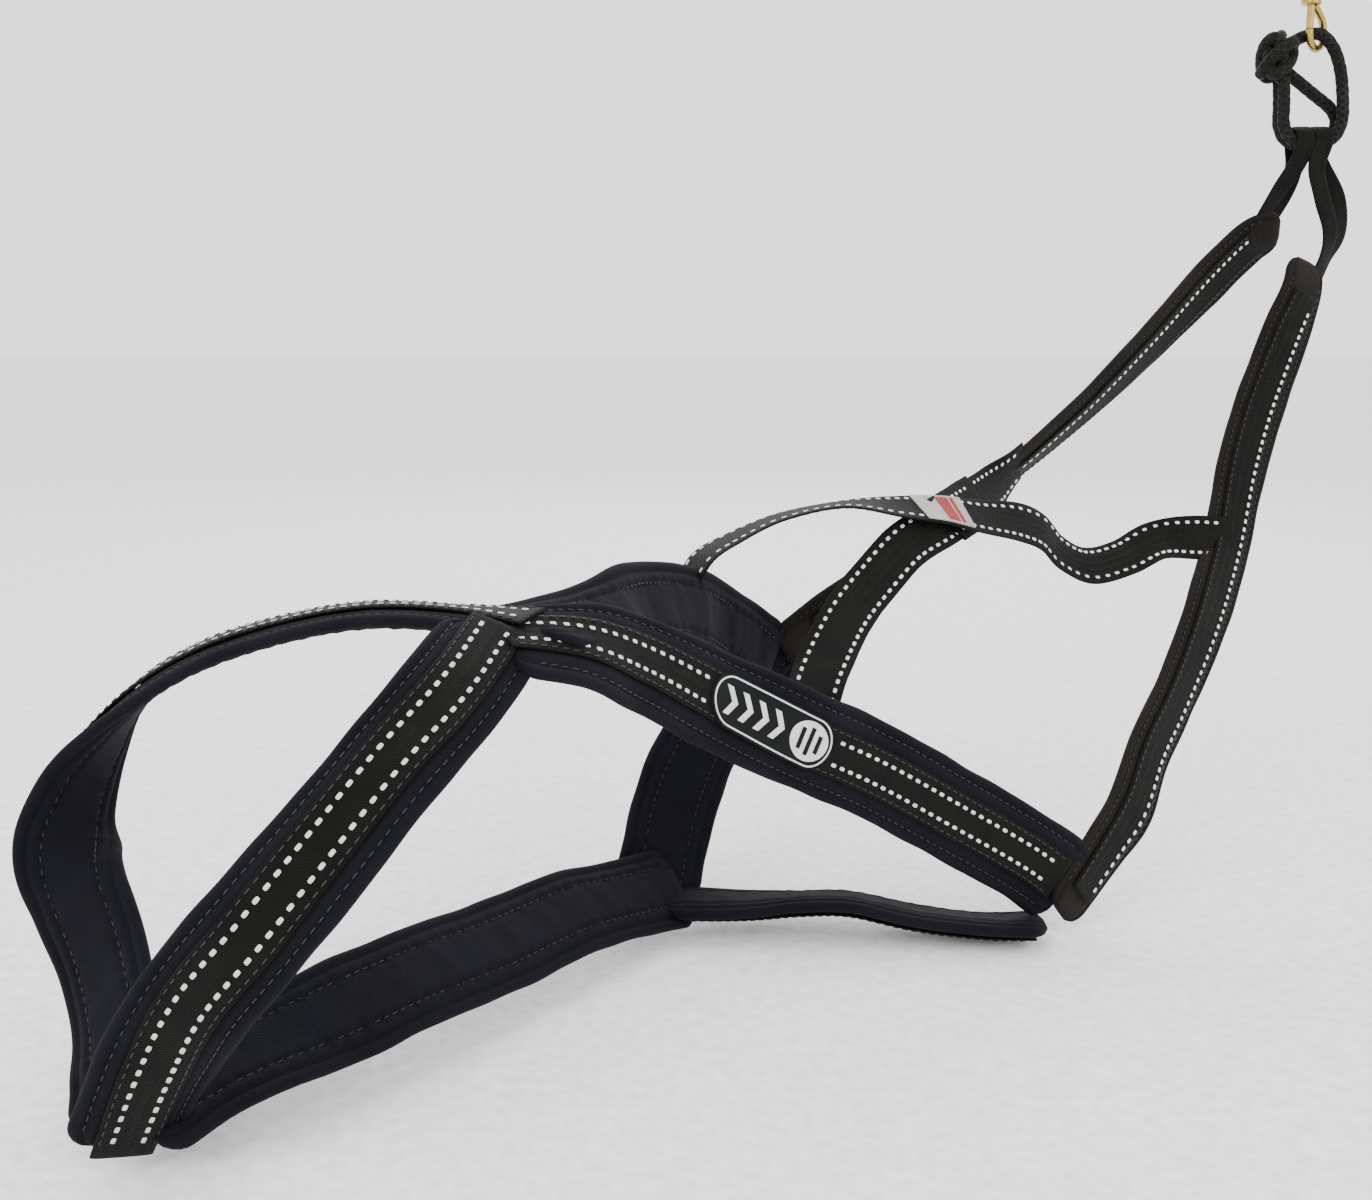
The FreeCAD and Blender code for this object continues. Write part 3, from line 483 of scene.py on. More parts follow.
def skin(name, rings, around, along, material):
    """Make a closed tube from rings of points, with a UV map of the places given round and along it."""
    count, sides = rings.shape[:2]
    points = np.vstack([rings.reshape(-1, 3), rings[0].mean(0), rings[-1].mean(0)])
    i = np.arange(count - 1)[:, None] * sides
    j = np.arange(sides)[None, :]
    k = (j + 1) % sides
    quads = np.stack([i + j, i + k, i + sides + k, i + sides + j], -1).reshape(-1, 4)
    faces = quads.tolist()
    first = count * sides
    last = (count - 1) * sides
    faces += [(first, int(b), int(a)) for a, b in zip(j[0], k[0])]
    faces += [(first + 1, last + int(a), last + int(b)) for a, b in zip(j[0], k[0])]
    mesh = bpy.data.meshes.new(name)
    mesh.from_pydata(points.tolist(), [], faces)
    layer = mesh.uv_layers.new(name="UVMap")
    wide = np.append(around, 2 * around[-1] - around[-2])
    uv = []
    for a in range(count - 1):
        for b in range(sides):
            left, right = wide[b], wide[b + 1]
            uv += [(left, along[a]), (right, along[a]), (right, along[a + 1]), (left, along[a + 1])]
    uv += [(wide[0], along[0])] * (3 * sides) + [(wide[0], along[-1])] * (3 * sides)
    layer.data.foreach_set("uv", np.array(uv, float).ravel())
    mesh.validate()
    if signed_volume(mesh) < 0:
        mesh.flip_normals()
    return link(name, mesh, material)


def signed_volume(mesh):
    """Return a closed mesh's volume, negative when its faces point inwards."""
    mesh.calc_loop_triangles()
    co = np.empty(len(mesh.vertices) * 3)
    mesh.vertices.foreach_get("co", co)
    co = co.reshape(-1, 3)
    tri = np.empty(len(mesh.loop_triangles) * 3, int)
    mesh.loop_triangles.foreach_get("vertices", tri)
    a, b, c = (co[tri.reshape(-1, 3)[:, i]] for i in range(3))
    return float((a * np.cross(b, c)).sum() / 6)


def finish(obj, slot, *nodes, body="harness"):
    """Attach a finished piece to its body and hide the plain solids it stands for; the slot is not used."""
    if nodes:
        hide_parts(*nodes)
    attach(obj, body)
    print(obj.name, len(obj.data.polygons), "faces")
    return obj


# %% [markdown]
# ## The padded bands
# Each band is foam in a cloth sleeve: a flat crown under the webbing, a stitched groove, and a rolled
# binding round the rim. The lining side has a channel between two seams, where the cloth puckers. The
# section is a formula of the distance across, and slow uneven waves along the band crease it, so the
# folds are real geometry and not only bump.

# %% Pads
PAD_SIDES = 72
CROWN_EDGE = 0.78
RIM_MIDDLE = 0.87
RIM_HALF = 0.13
SEAM_AT = 0.50
END_ROUND = 0.010
BAND_STEP = 0.002


def pad_height(q, s, thickness, seed, lining):
    """Return the half thickness at the share q of the half width, on the outer or the lining side."""
    crown = np.maximum(0, 1 - (q / CROWN_EDGE) ** 10) ** 0.4 * 0.93
    rim = 0.66 * np.sqrt(np.maximum(0, 1 - ((q - RIM_MIDDLE) / RIM_HALF) ** 2))
    height = np.maximum(crown, rim)
    if lining:
        height = height - 0.30 * np.exp(-((q - SEAM_AT) / 0.05) ** 2)
        pucker = wobble(s + 0.002 * seed, seed, 0.0085) * np.exp(-((q - SEAM_AT) / 0.16) ** 2)
        fold = wobble(s, seed + 3, 0.021) * np.clip(1 - q / SEAM_AT, 0, 1)
        height = height + 0.16 * pucker + 0.15 * fold
    else:
        pucker = wobble(s, seed + 5, 0.007) * np.exp(-((q - 0.72) / 0.07) ** 2)
        height = height + 0.07 * pucker
    return height * thickness / 2


def make_pad(name, stations, width, thickness, side, seed, material, slot, lumps=0.0):
    run = Run(stations, BAND_STEP)
    angle = 2 * math.pi * np.arange(PAD_SIDES) / PAD_SIDES
    share = np.cos(angle)
    s = run.s[:, None]
    q = np.abs(share)[None, :] + 0 * s
    outer = pad_height(q, s, thickness, seed, False)
    lining = pad_height(q, s, thickness, seed, True)
    up = np.where(np.sin(angle)[None, :] >= 0, outer, -lining) * side
    up = np.where(np.abs(np.sin(angle))[None, :] < 1e-6, 0, up)
    length = run.s[-1]
    end = np.minimum(run.s, length - run.s)
    close = np.sqrt(np.clip(1 - (1 - np.clip(end / END_ROUND, 0, 1)) ** 2, 0.02, 1))[:, None]
    half = width / 2 * (1 + 0.018 * wobble(s, seed + 9, 0.045))
    across = share[None, :] * half * (0.35 + 0.65 * close)
    bow = lumps * wobble(s, seed + 11, 0.075) * (1 - q ** 2)
    rings = run.p[:, None] + run.a[:, None] * across[..., None]
    rings = rings + run.n[:, None] * (up * close + bow)[..., None]
    around = np.concatenate([[0], np.cumsum(np.abs(np.diff(share)) + 0.02)]) * width / 2
    pad = skin(name, rings, around, run.s, material)
    finish(pad, slot, name)
    return run


WIDE = 0.040
BROAD = 0.044
SLIM = 0.030
BELLY = 0.038
THICK = 0.008
REAR_THICK = 0.0065
RUNS = {}
for title, stations, wide, thick, side, seed, cloth, slot, lumps in (
        ("neck_pad_near", NECK_NEAR, WIDE, THICK, 1, 1, PAD, "pad_fabric", 0.0),
        ("neck_pad_far", NECK_FAR, WIDE, THICK, -1, 2, PAD, "pad_fabric", 0.0004),
        ("chest_pad", CHEST, BROAD, THICK, 1, 3, PAD, "pad_fabric", 0.0004),
        ("belly_pad_near", BELLY_NEAR, BELLY, THICK, -1, 4, PAD, "pad_fabric", 0.0),
        ("belly_pad_far", BELLY_FAR, BROAD, THICK, 1, 5, PAD, "pad_fabric", 0.0005),
        ("side_pad_near", SIDE_NEAR, BROAD, THICK, -1, 6, PAD, "pad_fabric", 0.0),
        ("side_pad_far", SIDE_FAR, BROAD, THICK, 1, 7, PAD, "pad_fabric", 0.0022),
        ("rear_pad_near", REAR_NEAR, SLIM, REAR_THICK, -1, 8, LINING, "rear_fabric", 0.0),
        ("rear_pad_far", REAR_FAR, SLIM, REAR_THICK, 1, 9, LINING, "rear_fabric", 0.0)):
    band = make_pad(title, stations, wide, thick, side, seed, cloth, slot, lumps)
    RUNS[title] = (band, side, thick, wide)

# %% [markdown]
# ## Webbing
# Webbing is flat with rounded edges. A section with flattened faces and tight corners, carried along the
# band's frames, gives the form; the finish gives the yarns.

# %% Webbing on the bands
WEB_THICK = 0.0018
WEB_SIDES = 32
SEWN_GAP = 0.00005
EDGE_WAVER = 0.00012
PAD_WEB = 0.022
REAR_WEB = 0.018


def make_web(name, run, start, end, width, lift, seed):
    """Build a webbing from length share start to end of a run, lifted off its middle."""
    first = start * run.s[-1]
    last = end * run.s[-1]
    s = np.linspace(first, last, max(8, int((last - first) / BAND_STEP)))
    angle = 2 * math.pi * np.arange(WEB_SIDES) / WEB_SIDES
    across = np.sign(np.cos(angle)) * np.abs(np.cos(angle)) ** 0.45 * width / 2
    up = np.sign(np.sin(angle)) * np.abs(np.sin(angle)) ** 0.6 * WEB_THICK / 2
    places = np.repeat(s[:, None], WEB_SIDES, 1)
    waver = EDGE_WAVER * wobble(places, seed, 0.03)
    rings = run.at(places, across[None, :] + waver, up[None, :] + lift)
    around = np.concatenate([[0], np.cumsum(np.abs(np.diff(across)) + 1e-4)])
    return finish(skin(name, rings, around, s, WEB), "webbing", name)


WEBS = {}
for title, pad, start, end, wide in (
        ("neck_web_near", "neck_pad_near", 0.0, 1.0, PAD_WEB),
        ("neck_web_far", "neck_pad_far", 0.0, 0.95, PAD_WEB),
        ("chest_web", "chest_pad", 0.08, 0.96, PAD_WEB),
        ("belly_web_near", "belly_pad_near", 0.05, 0.97, PAD_WEB),
        ("belly_web_far", "belly_pad_far", 0.10, 0.95, PAD_WEB),
        ("side_web_near", "side_pad_near", 0.0, 0.97, PAD_WEB),
        ("side_web_far", "side_pad_far", 0.10, 0.95, PAD_WEB),
        ("rear_web_near", "rear_pad_near", 0.03, 0.95, REAR_WEB),
        ("rear_web_far", "rear_pad_far", 0.05, 0.95, REAR_WEB)):
    run, side, padding, _ = RUNS[pad]
    lift = side * (padding / 2 + SEWN_GAP + WEB_THICK / 2)
    make_web(title, run, start, end, wide, lift, len(title))
    WEBS[title] = (run, side, lift, start, end)

# %% Webbing over the back and the rope's bights
BACK_WIDTH = 0.025
KEEPER_WIDTH = BACK_WIDTH + 2 * WEB_THICK
KEEPER_LIFT = -(WEB_THICK + SEWN_GAP)
LOOP_WIDTH = 0.0105
LOOP_STEP = 0.001
TO_FAR = Run(BACK_TO_FAR, BAND_STEP)
TO_NEAR = Run(BACK_TO_NEAR, BAND_STEP)
FAR_LOOP = Run(loop_stations(BIGHT_X_FAR, FAR_LOOP_FRONT, FAR_LOOP_BACK), LOOP_STEP)
NEAR_LOOP = Run(loop_stations(BIGHT_X_NEAR, NEAR_LOOP_FRONT, NEAR_LOOP_BACK), LOOP_STEP)
make_web("back_web_to_far", TO_FAR, 0.0, 1.0, BACK_WIDTH, 0.0, 21)
make_web("back_web_to_near", TO_NEAR, 0.0, 1.0, BACK_WIDTH, 0.0, 22)
make_web("back_keeper", TO_FAR, 0.60, 0.78, KEEPER_WIDTH, KEEPER_LIFT, 23)
make_web("loop_web_far", FAR_LOOP, 0.0, 1.0, LOOP_WIDTH, 0.0, 24)
make_web("loop_web_near", NEAR_LOOP, 0.0, 1.0, LOOP_WIDTH, 0.0, 25)

# %% [markdown]
# ## Dashes and stitches
# The reflective yarn shows on the webbing's face as evenly spaced dashes, and black thread holds every
# seam. Both repeat along a path, so Geometry Nodes set them: a mesh of bare points carries the direction
# along and out of the strap, and a small pillow stands on each point. The tree ends by making the copies
# real and giving them their finish.

# %% The tree that sets dashes on points
def dash_tree():
    """Build the Geometry Nodes tree with named sizes for a dash."""
    tree = bpy.data.node_groups.new("dashes_on_points", "GeometryNodeTree")
    face = tree.interface
    face.new_socket("Geometry", in_out="INPUT", socket_type="NodeSocketGeometry")
    for name in ("Length", "Width", "Height"):
        face.new_socket(name, in_out="INPUT", socket_type="NodeSocketFloat")
    face.new_socket("Finish", in_out="INPUT", socket_type="NodeSocketMaterial")
    face.new_socket("Geometry", in_out="OUTPUT", socket_type="NodeSocketGeometry")
    add = tree.nodes.new
    given = add("NodeGroupInput")
    out = add("NodeGroupOutput")
    size = add("ShaderNodeCombineXYZ")
    for i, name in enumerate(("Length", "Width", "Height")):
        tree.links.new(given.outputs[name], size.inputs[i])
    block = add("GeometryNodeMeshCube")
    tree.links.new(size.outputs[0], block.inputs["Size"])
    pillow = add("GeometryNodeSubdivisionSurface")
    pillow.inputs["Level"].default_value = 1
    pillow.inputs["Edge Crease"].default_value = 0.78
    tree.links.new(block.outputs["Mesh"], pillow.inputs["Mesh"])
    ways = []
    for name in ("out", "along"):
        read = add("GeometryNodeInputNamedAttribute")
        read.data_type = "FLOAT_VECTOR"
        read.inputs["Name"].default_value = name
        ways.append(read.outputs["Attribute"])
    turn = add("FunctionNodeAxesToRotation")
    turn.primary_axis = "Z"
    turn.secondary_axis = "X"
    tree.links.new(ways[0], turn.inputs["Primary Axis"])
    tree.links.new(ways[1], turn.inputs["Secondary Axis"])
    copies = add("GeometryNodeInstanceOnPoints")
    tree.links.new(given.outputs["Geometry"], copies.inputs["Points"])
    tree.links.new(pillow.outputs["Mesh"], copies.inputs["Instance"])
    tree.links.new(turn.outputs["Rotation"], copies.inputs["Rotation"])
    real = add("GeometryNodeRealizeInstances")
    tree.links.new(copies.outputs["Instances"], real.inputs["Geometry"])
    paint = add("GeometryNodeSetMaterial")
    tree.links.new(real.outputs["Geometry"], paint.inputs["Geometry"])
    tree.links.new(given.outputs["Finish"], paint.inputs["Material"])
    tree.links.new(paint.outputs["Geometry"], out.inputs["Geometry"])
    return tree


DASH_TREE = dash_tree()


def set_dashes(name, rows, size, material, body="harness"):
    """Set dashes of one size on rows of (points, along, out), as one plain mesh."""
    points = np.vstack([r[0] for r in rows])
    mesh = bpy.data.meshes.new(name + "_points")
    mesh.from_pydata(points.tolist(), [], [])
    for label, index in (("along", 1), ("out", 2)):
        field = mesh.attributes.new(label, "FLOAT_VECTOR", "POINT")
        field.data.foreach_set("vector", np.vstack([r[index] for r in rows]).ravel())
    obj = bpy.data.objects.new(name, mesh)
    bpy.context.collection.objects.link(obj)
    mod = obj.modifiers.new("dashes", "NODES")
    mod.node_group = DASH_TREE
    sockets = {i.name: i.identifier for i in DASH_TREE.interface.items_tree if i.in_out == "INPUT"}
    for label, value in zip(("Length", "Width", "Height", "Finish"), (*size, material)):
        mod[sockets[label]] = value
    graph = bpy.context.evaluated_depsgraph_get()
    plain = bpy.data.meshes.new_from_object(obj.evaluated_get(graph))
    obj.modifiers.remove(mod)
    obj.data = plain
    plain.polygons.foreach_set("use_smooth", [True] * len(plain.polygons))
    print(name, len(points), "dashes")
    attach(obj, body)


def row(run, side, start, end, pitch, across, out):
    """Return one row of places along a run: points, along and out."""
    length = run.s[-1]
    count = max(2, int((end - start) * length / pitch))
    s = start * length + pitch * (np.arange(count) + 0.5)
    t, n = run.way(s, side)
    return run.at(s, across, out), t, n


# %% Reflective dashes on the bands
DASH = (0.0029, 0.0018, 0.0005)
DASH_PITCH = 0.0052
PAD_ROW = 0.0052
REAR_ROW_NEAR = 0.0058
REAR_ROW_FAR = -0.0048
ROW_INSET = 0.01
LABEL_SPAN = (0.305, 0.53)


def face_of(title):
    """Return a sewn webbing's run, side, face height and the span that dashes take."""
    run, side, lift, start, end = WEBS[title]
    return run, side, lift + side * (WEB_THICK / 2 + SEWN_GAP), start + ROW_INSET, end - ROW_INSET


dash_rows = []
for title in (
        "neck_web_near", "neck_web_far", "chest_web", "belly_web_near", "belly_web_far", "side_web_far"):
    run, side, out, start, end = face_of(title)
    for across in (-PAD_ROW, PAD_ROW):
        dash_rows.append(row(run, side, start, end, DASH_PITCH, across, out))
run, side, out, start, end = face_of("side_web_near")
for across in (-PAD_ROW, PAD_ROW):
    dash_rows.append(row(run, side, start, LABEL_SPAN[0], DASH_PITCH, across, out))
    dash_rows.append(row(run, side, LABEL_SPAN[1], end, DASH_PITCH, across, out))
for title, across in (("rear_web_near", REAR_ROW_NEAR), ("rear_web_far", REAR_ROW_FAR)):
    run, side, out, start, end = face_of(title)
    dash_rows.append(row(run, side, start, end, DASH_PITCH, across, out))
set_dashes("pad_webbing_dashes", dash_rows, DASH, REFLECT)

# %% Reflective dashes on the back webbing
BACK_ROW = 0.0086
BACK_PITCH = 0.0055
BACK_SPAN = (0.02, 0.985)
KEEPER_ROWS = (0.61, 0.77)
KEEPER_FACE = -0.0028
back_rows = []
for run in (TO_FAR, TO_NEAR):
    for across in (-BACK_ROW, BACK_ROW):
        for side in (-1, 1):
            back_rows.append(row(run, side, *BACK_SPAN, BACK_PITCH, across, side * WEB_THICK / 2))
for across in (-BACK_ROW, BACK_ROW):
    back_rows.append(row(TO_FAR, -1, *KEEPER_ROWS, BACK_PITCH, across, KEEPER_FACE))
set_dashes("back_webbing_dashes", back_rows, DASH, REFLECT)

# %% Seam stitches
STITCH = (0.0029, 0.0006, 0.0005)
STITCH_PITCH = 0.0042
SEAM_SPAN = (0.03, 0.97)
GROOVE = 0.76
LINING_SEAM = 0.66
SEAM_DEPTH = 0.33
EDGE_MARGIN = 0.0016
seam_rows = []
for run, side, thick, wide in RUNS.values():
    depth = side * thick * SEAM_DEPTH
    for across in (-GROOVE * wide / 2, GROOVE * wide / 2):
        seam_rows.append(row(run, side, *SEAM_SPAN, STITCH_PITCH, across, depth))
        seam_rows.append(row(run, -side, *SEAM_SPAN, STITCH_PITCH, across * LINING_SEAM, -depth))
for title, (run, side, lift, start, end) in WEBS.items():
    edge = (REAR_WEB if "rear" in title else PAD_WEB) / 2 - EDGE_MARGIN
    face = lift + side * WEB_THICK / 2
    for across in (-edge, edge):
        seam_rows.append(row(run, side, start + ROW_INSET, end - ROW_INSET, STITCH_PITCH, across, face))
set_dashes("seam_stitches", seam_rows, STITCH, THREAD)

# %% [markdown]
# ## The patch and the tag
# The patch is a capsule of dark cloth with a pale border. Where a maker would put a name it has a plain
# chevron pattern. Flat outlines are laid on the band's frames: a point (along, across) becomes a place on
# the curved face, so the border bends with the band.

# %% Flat shapes that bend with a strap
OUTLINE_STEP = 0.0012
LONG_OUTLINE = 120


def capsule(half_length, radius, count=20):
    """Return the outline of a capsule as (along, across) pairs."""
    turn = np.linspace(-math.pi / 2, math.pi / 2, count)
    right = [(half_length - radius + radius * math.cos(a), radius * math.sin(a)) for a in turn]
    left = [(-x, -y) for x, y in right]
    top = [(-(half_length - radius) * k, radius) for k in np.linspace(-1, 1, 24)[1:-1]]
    return right + top + left + [(-x, -y) for x, y in top]


def rectangle(start, end, low, high):
    """Return a rectangle as (along, across) pairs."""
    return [(start, low), (end, low), (end, high), (start, high)]


def finer(outline):
    """Add points along an outline's straight runs, so that it bends with the band."""
    out = []
    for (x, y), (u, v) in zip(outline, list(outline[1:]) + [outline[0]]):
        count = max(1, int(math.hypot(u - x, v - y) / OUTLINE_STEP))
        out += [(x + (u - x) * k / count, y + (v - y) * k / count) for k in range(count)]
    return out


def belt(first, second, n):
    """Return the faces between two loops of n points that start at these numbers."""
    return [(first + i, first + (i + 1) % n, second + (i + 1) % n, second + i) for i in range(n)]


def filled(outline, low, high, place):
    """Return the points and faces of a solid plate, its faces in rings about its heart."""
    outline = finer(outline)
    n = len(outline)
    steps = 30 if n > LONG_OUTLINE else 8
    rim = np.array(outline)
    heart = rim.mean(0)
    shares = [(k + 1) / steps for k in range(steps)]
    layers = [place(heart + (rim - heart) * f, low) for f in shares]
    layers += [place(heart + (rim - heart) * f, high) for f in reversed(shares)]
    points = np.vstack(layers + [place([heart], low), place([heart], high)])
    faces = []
    for k in range(len(layers) - 1):
        faces += belt(k * n, (k + 1) * n, n)
    under = len(layers) * n
    last = under - n
    faces += [(under, (i + 1) % n, i) for i in range(n)]
    faces += [(last + i, last + (i + 1) % n, under + 1) for i in range(n)]
    return points, faces


def ringed(outline, inner, low, high, place):
    """Return the points and faces of a border between two outlines."""
    layers = [place(outline, low), place(outline, high), place(inner, high), place(inner, low)]
    faces = []
    for k in range(4):
        faces += belt(k * len(outline), (k + 1) % 4 * len(outline), len(outline))
    return np.vstack(layers), faces


def lay_plate(name, outline, low, high, material, strap, inner=None):
    """Raise a flat shape on a strap: a filled outline, or a border where inner is given."""
    run, side, middle = strap

    def place(pairs, out):
        pairs = np.array(pairs)
        return run.at(middle + pairs[:, 0], pairs[:, 1], side * np.full(len(pairs), out))

    if inner is None:
        points, faces = filled(outline, low, high, place)
    else:
        points, faces = ringed(outline, inner, low, high, place)
    mesh = bpy.data.meshes.new(name)
    mesh.from_pydata(points.tolist(), [], faces)
    layer = mesh.uv_layers.new(name="UVMap")
    co = points[[v for p in mesh.polygons for v in p.vertices]]
    layer.data.foreach_set("uv", np.stack([co[:, 0] + co[:, 1], co[:, 2]], 1).ravel())
    if signed_volume(mesh) < 0:
        mesh.flip_normals()
    obj = link(name, mesh, material)
    mesh.polygons.foreach_set("use_smooth", [False] * len(mesh.polygons))
    return obj


# %% Patch on the near shoulder band
PATCH_LENGTH = 0.072
PATCH_WIDTH = 0.0235
PATCH_SHARE = 0.415
SHOULDER_RUN, SHOULDER_SIDE, SHOULDER_THICK, _ = RUNS["side_pad_near"]
SHOULDER = (SHOULDER_RUN, SHOULDER_SIDE, PATCH_SHARE * SHOULDER_RUN.s[-1])
PATCH_BASE = SHOULDER_THICK / 2 + WEB_THICK + 0.0001
PATCH_TOP = PATCH_BASE + 0.0010
PRINT_LOW = PATCH_TOP - 0.0003
PRINT_HIGH = PATCH_TOP + 0.00035
BORDER_OUT = 0.0009
BORDER_IN = 0.0016

patch_edge = capsule(PATCH_LENGTH / 2, PATCH_WIDTH / 2)
finish(lay_plate("label_near", patch_edge, PATCH_BASE, PATCH_TOP, PATCH, SHOULDER), "label", "label_near")
border_out = capsule(PATCH_LENGTH / 2 - BORDER_OUT, PATCH_WIDTH / 2 - BORDER_OUT)
border_in = capsule(PATCH_LENGTH / 2 - BORDER_IN, PATCH_WIDTH / 2 - BORDER_IN)
finish(lay_plate("label_border", border_out, PRINT_LOW, PRINT_HIGH, PRINT, SHOULDER, border_in), "label")

# %% Marks on the patch
CHEVRON_FIRST = -0.0245
CHEVRON_PITCH = 0.0095
CHEVRON_REACH = 0.0045
CHEVRON_THICK = 0.0034
CHEVRON_TALL = 0.0062
DISC_MIDDLE = 0.0222
DISC_LONG = 0.0108
DISC_WIDE = 0.0088
SLAT_THICK = 0.0022


def chevron_arm(x, side):
    """Return one arm of a chevron whose point is towards +along; both arms turn the same way."""
    foot = x - CHEVRON_REACH
    tall = side * CHEVRON_TALL
    outline = [(foot, tall), (foot + CHEVRON_THICK, tall), (x + CHEVRON_THICK, 0), (x, 0)]
    return outline[::-side]


for k in range(4):
    x = CHEVRON_FIRST + CHEVRON_PITCH * k
    for part, side in (("a", -1), ("b", 1)):
        title = "label_chevron_%d%s" % (k, part)
        finish(lay_plate(title, chevron_arm(x, side), PRINT_LOW, PRINT_HIGH, PRINT, SHOULDER), "label")
turn = np.linspace(0, 2 * math.pi, 48, endpoint=False)
disc = [(DISC_MIDDLE + DISC_LONG * math.cos(a), DISC_WIDE * math.sin(a)) for a in turn]
finish(lay_plate("label_disc", disc, PRINT_LOW, PRINT_HIGH, PRINT, SHOULDER), "label")
for k, (start, reach) in enumerate(((0.0163, 0.0048), (0.0213, 0.0062), (0.0263, 0.0040))):
    slat = rectangle(start, start + SLAT_THICK, -reach, reach)
    finish(lay_plate("label_slat_%d" % k, slat, PATCH_TOP, PATCH_TOP + 0.0006, PATCH, SHOULDER), "label")

# %% [markdown]
# ## The tag at the crossing
# A short satin tape is sewn on the upper webbing where the two cross. It is laid with the same helper as the
# patch, and two red woven bars stand for whatever a maker would weave there.

# %% Tag at the crossing
TAG_SHARE = 0.4225
TAG_LOW = 0.00095
TAG_HIGH = 0.00155
TAG_HALF_LONG = 0.0148
TAG_HALF_WIDE = 0.0112
YARN_HALF_WIDE = 0.0095
YARN_LOW = TAG_HIGH - 0.0002
YARN_HIGH = TAG_HIGH + 0.0003
CROSSING = (TO_NEAR, -1, TAG_SHARE * TO_NEAR.s[-1])
tag_outline = rectangle(-TAG_HALF_LONG, TAG_HALF_LONG, -TAG_HALF_WIDE, TAG_HALF_WIDE)
finish(lay_plate("back_tag", tag_outline, TAG_LOW, TAG_HIGH, TAPE, CROSSING), "woven_tag", "back_tag")
for title, start, end in (("tag_bar_wide", -0.001, 0.006), ("tag_bar_thin", 0.0075, 0.0095)):
    bar = rectangle(start, end, -YARN_HALF_WIDE, YARN_HALF_WIDE)
    finish(lay_plate(title, bar, YARN_LOW, YARN_HIGH, RED, CROSSING), "woven_tag")

# %% [markdown]
# ## Rope and knot
# The tug loop is one braided rope laid twice through the bights. A rope's shape comes from its smooth
# line: a NURBS spline gives the line, and a braided skin follows it, with strands raised both ways round.

# %% Rope
ROPE_D = 0.0073
ROPE_HALF_GAP = 3.9
ROPE_LONG = [
    (545, 0, 341), (546.5, 0, 325), (546, 0, 314), (552.5, 0, 303), (575.5, 0, 303), (582, 0, 314),
    (581, 0, 330), (579, 1.5, 347), (573.5, 3, 361), (563, 3.9, 369), (549, 3.9, 361),
]
ROPE_SHORT = [
    (545, 0, 341), (546.5, 0, 325), (546, 0, 314), (552.5, 0, 303), (575.5, 0, 303), (582, 0, 314),
    (579, 0, 323.5), (566, -1.5, 332), (552, -3, 342), (546, -3, 346),
]
ROPE_TAIL = [(544, 426, 360), (547, 433, 366), (551, 441, 369)]
ROPE_SIDES = 40
ROPE_STEP = 0.0006
STRAND_PITCH = 0.0062
STRAND_RISE = 0.03


def smooth_line(name, points):
    """Return the points of the NURBS spline that has these control points, in metres."""
    data = bpy.data.curves.new(name, "CURVE")
    data.dimensions = "3D"
    data.resolution_u = 16
    spline = data.splines.new("NURBS")
    spline.points.add(len(points) - 1)
    for p, q in zip(spline.points, points):
        p.co = (q[0] * MM, q[1] * MM, q[2] * MM, 1)
    spline.order_u = 3
    spline.use_endpoint_u = True
    obj = bpy.data.objects.new(name, data)
    bpy.context.collection.objects.link(obj)
    mesh = bpy.data.meshes.new_from_object(obj.evaluated_get(bpy.context.evaluated_depsgraph_get()))
    line = np.array([v.co[:] for v in mesh.vertices])
    bpy.data.objects.remove(obj)
    bpy.data.meshes.remove(mesh)
    return line


def even_line(line, spacing):
    """Return a line's points at even steps, with the lengths along it."""
    arc = np.concatenate([[0], np.cumsum(np.linalg.norm(np.diff(line, axis=0), axis=1))])
    s = np.linspace(0, arc[-1], max(6, int(arc[-1] / spacing)))
    return np.stack([np.interp(s, arc, line[:, i]) for i in range(3)], 1), s


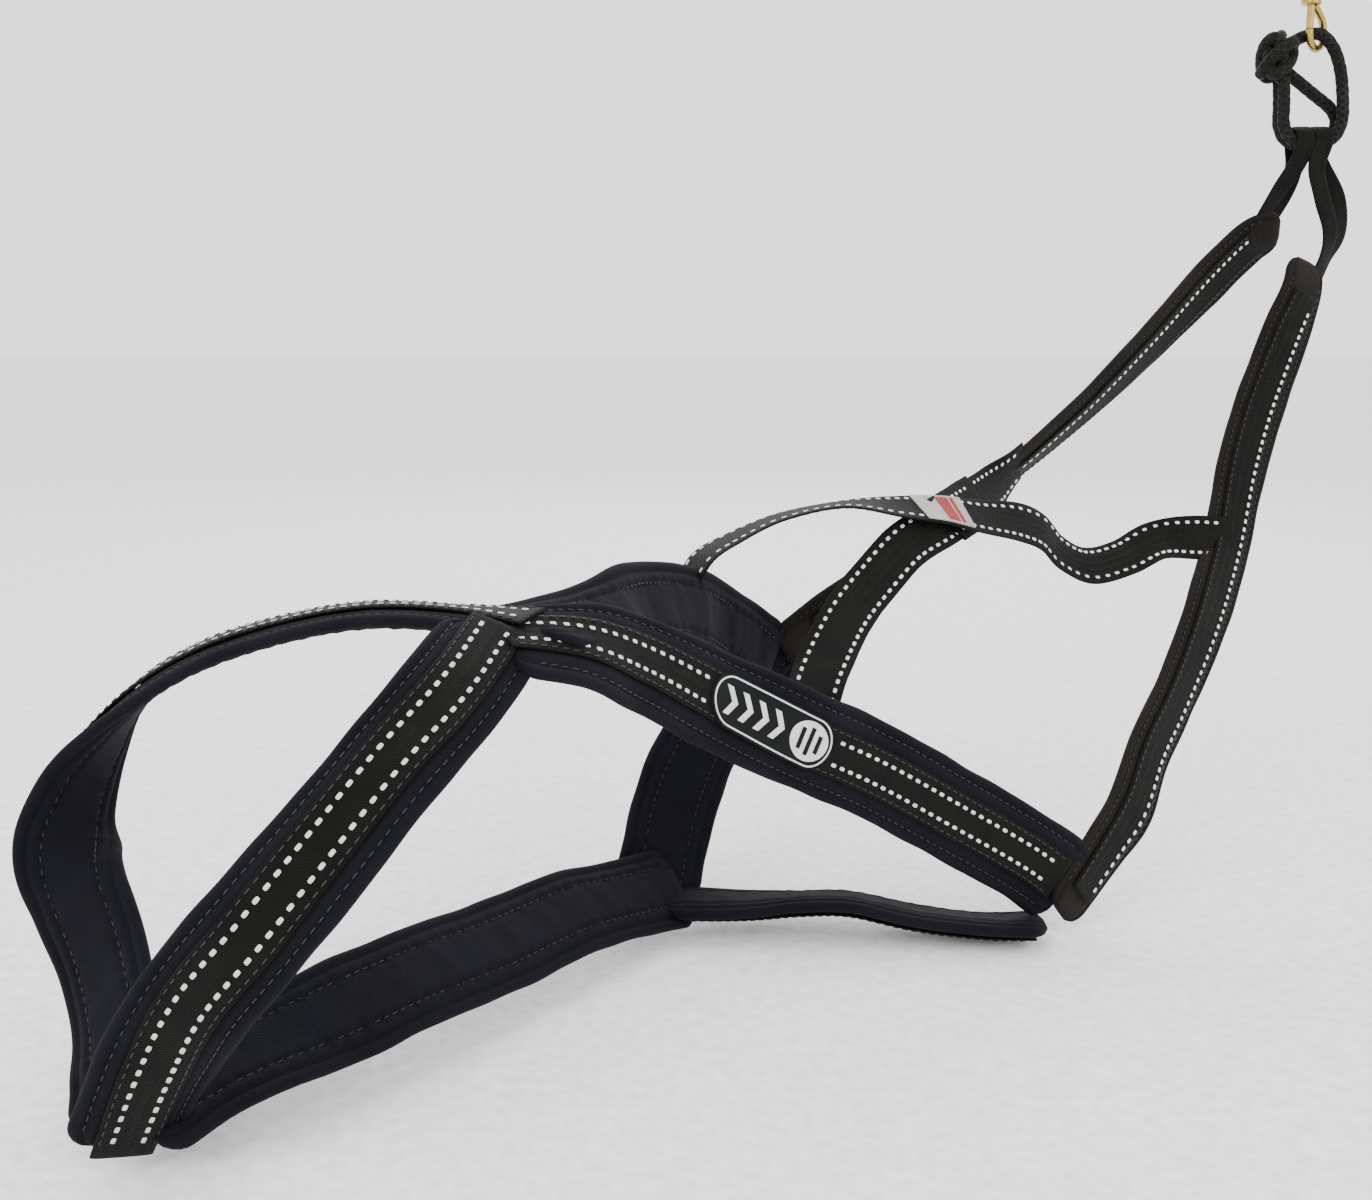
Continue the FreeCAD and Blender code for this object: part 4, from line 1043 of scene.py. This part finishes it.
def braid(name, line, radius):
    """Skin a line with a braided rope: strands raised both ways round it."""
    points, s = even_line(line, ROPE_STEP)
    tangent = np.gradient(points, axis=0)
    tangent /= np.linalg.norm(tangent, axis=1)[:, None]
    out = np.cross(tangent[0], (0.3, 1.0, 0.2))
    outs = []
    for t in tangent:
        out = out - t * np.dot(out, t)
        out = out / np.linalg.norm(out)
        outs.append(out)
    outs = np.array(outs)
    a = 2 * math.pi * np.arange(ROPE_SIDES) / ROPE_SIDES
    one = np.sin(2 * math.pi * s[:, None] / STRAND_PITCH + BRAID_STRANDS * a)
    two = np.sin(2 * math.pi * s[:, None] / STRAND_PITCH - BRAID_STRANDS * a)
    grow = radius * (1 - STRAND_RISE + STRAND_RISE * np.maximum(one, two))
    other = np.cross(tangent, outs)
    turned = outs[:, None] * np.cos(a)[None, :, None] + other[:, None] * np.sin(a)[None, :, None]
    rings = points[:, None] + grow[..., None] * turned
    return skin(name, rings, np.arange(ROPE_SIDES) / ROPE_SIDES, s, ROPE), points, s[-1]


def make_rope(name, route, side):
    """Build one turn of the tug loop."""
    y = TUG_Y + side * ROPE_HALF_GAP
    line = smooth_line(name, [(x, y + dy, z) for x, dy, z in route])
    rope, points, length = braid(name, line, ROPE_D / 2)
    finish(rope, "rope", name, body="tug_rope")
    tuple(points[0])
    [tuple(map(float, p)) for p in points]


# %% Knot
KNOT_MIDDLE = np.array([0.541, 0.420, 0.352])
KNOT_ROPE = 0.0037
KNOT_REACH = 0.0068
KNOT_SWELL = 0.0017
KNOT_RISE = 0.0098
KNOT_LEAN = math.radians(14)


def make_knot():
    """Tie the knot: a rope that winds three times round while it weaves in and out."""
    turn = np.linspace(0, 2 * math.pi, 480)
    wide = KNOT_REACH + KNOT_SWELL * np.cos(4 * turn)
    line = np.stack([wide * np.cos(3 * turn), wide * np.sin(3 * turn), KNOT_RISE * np.sin(4 * turn + 0.6)], 1)
    x = line[:, 0] * math.cos(KNOT_LEAN) + line[:, 2] * math.sin(KNOT_LEAN)
    z = -line[:, 0] * math.sin(KNOT_LEAN) + line[:, 2] * math.cos(KNOT_LEAN)
    line = np.stack([x, line[:, 1], z], 1) + KNOT_MIDDLE
    knot, _, _ = braid("tug_knot", line, KNOT_ROPE)
    return finish(knot, "rope", "tug_knot", body="tug_rope")


KNOT = make_knot()
make_rope("tug_rope_long", ROPE_LONG, -1)
make_rope("tug_rope_short", ROPE_SHORT, 1)
tail, _, _ = braid("tug_rope_tail", smooth_line("tail", ROPE_TAIL), ROPE_D / 2)
finish(tail, "rope", "tug_rope_tail", body="tug_rope")

# %% [markdown]
# ## The brass snap
# The hook, barrel, bolt and swivel eye are turned and cast brass whose shape is already right in the
# frame, so they only take their finish.

# %% Finishes of the carried-over parts
for title, metal in (("snap_body", BRASS), ("snap_bolt", BRASS), ("snap_stud", BRASS), ("snap_eye", BRASS),
                     ("snap_spring", STEEL)):
    slots = bpy.data.objects[title].data.materials
    slots.clear()
    slots.append(metal)
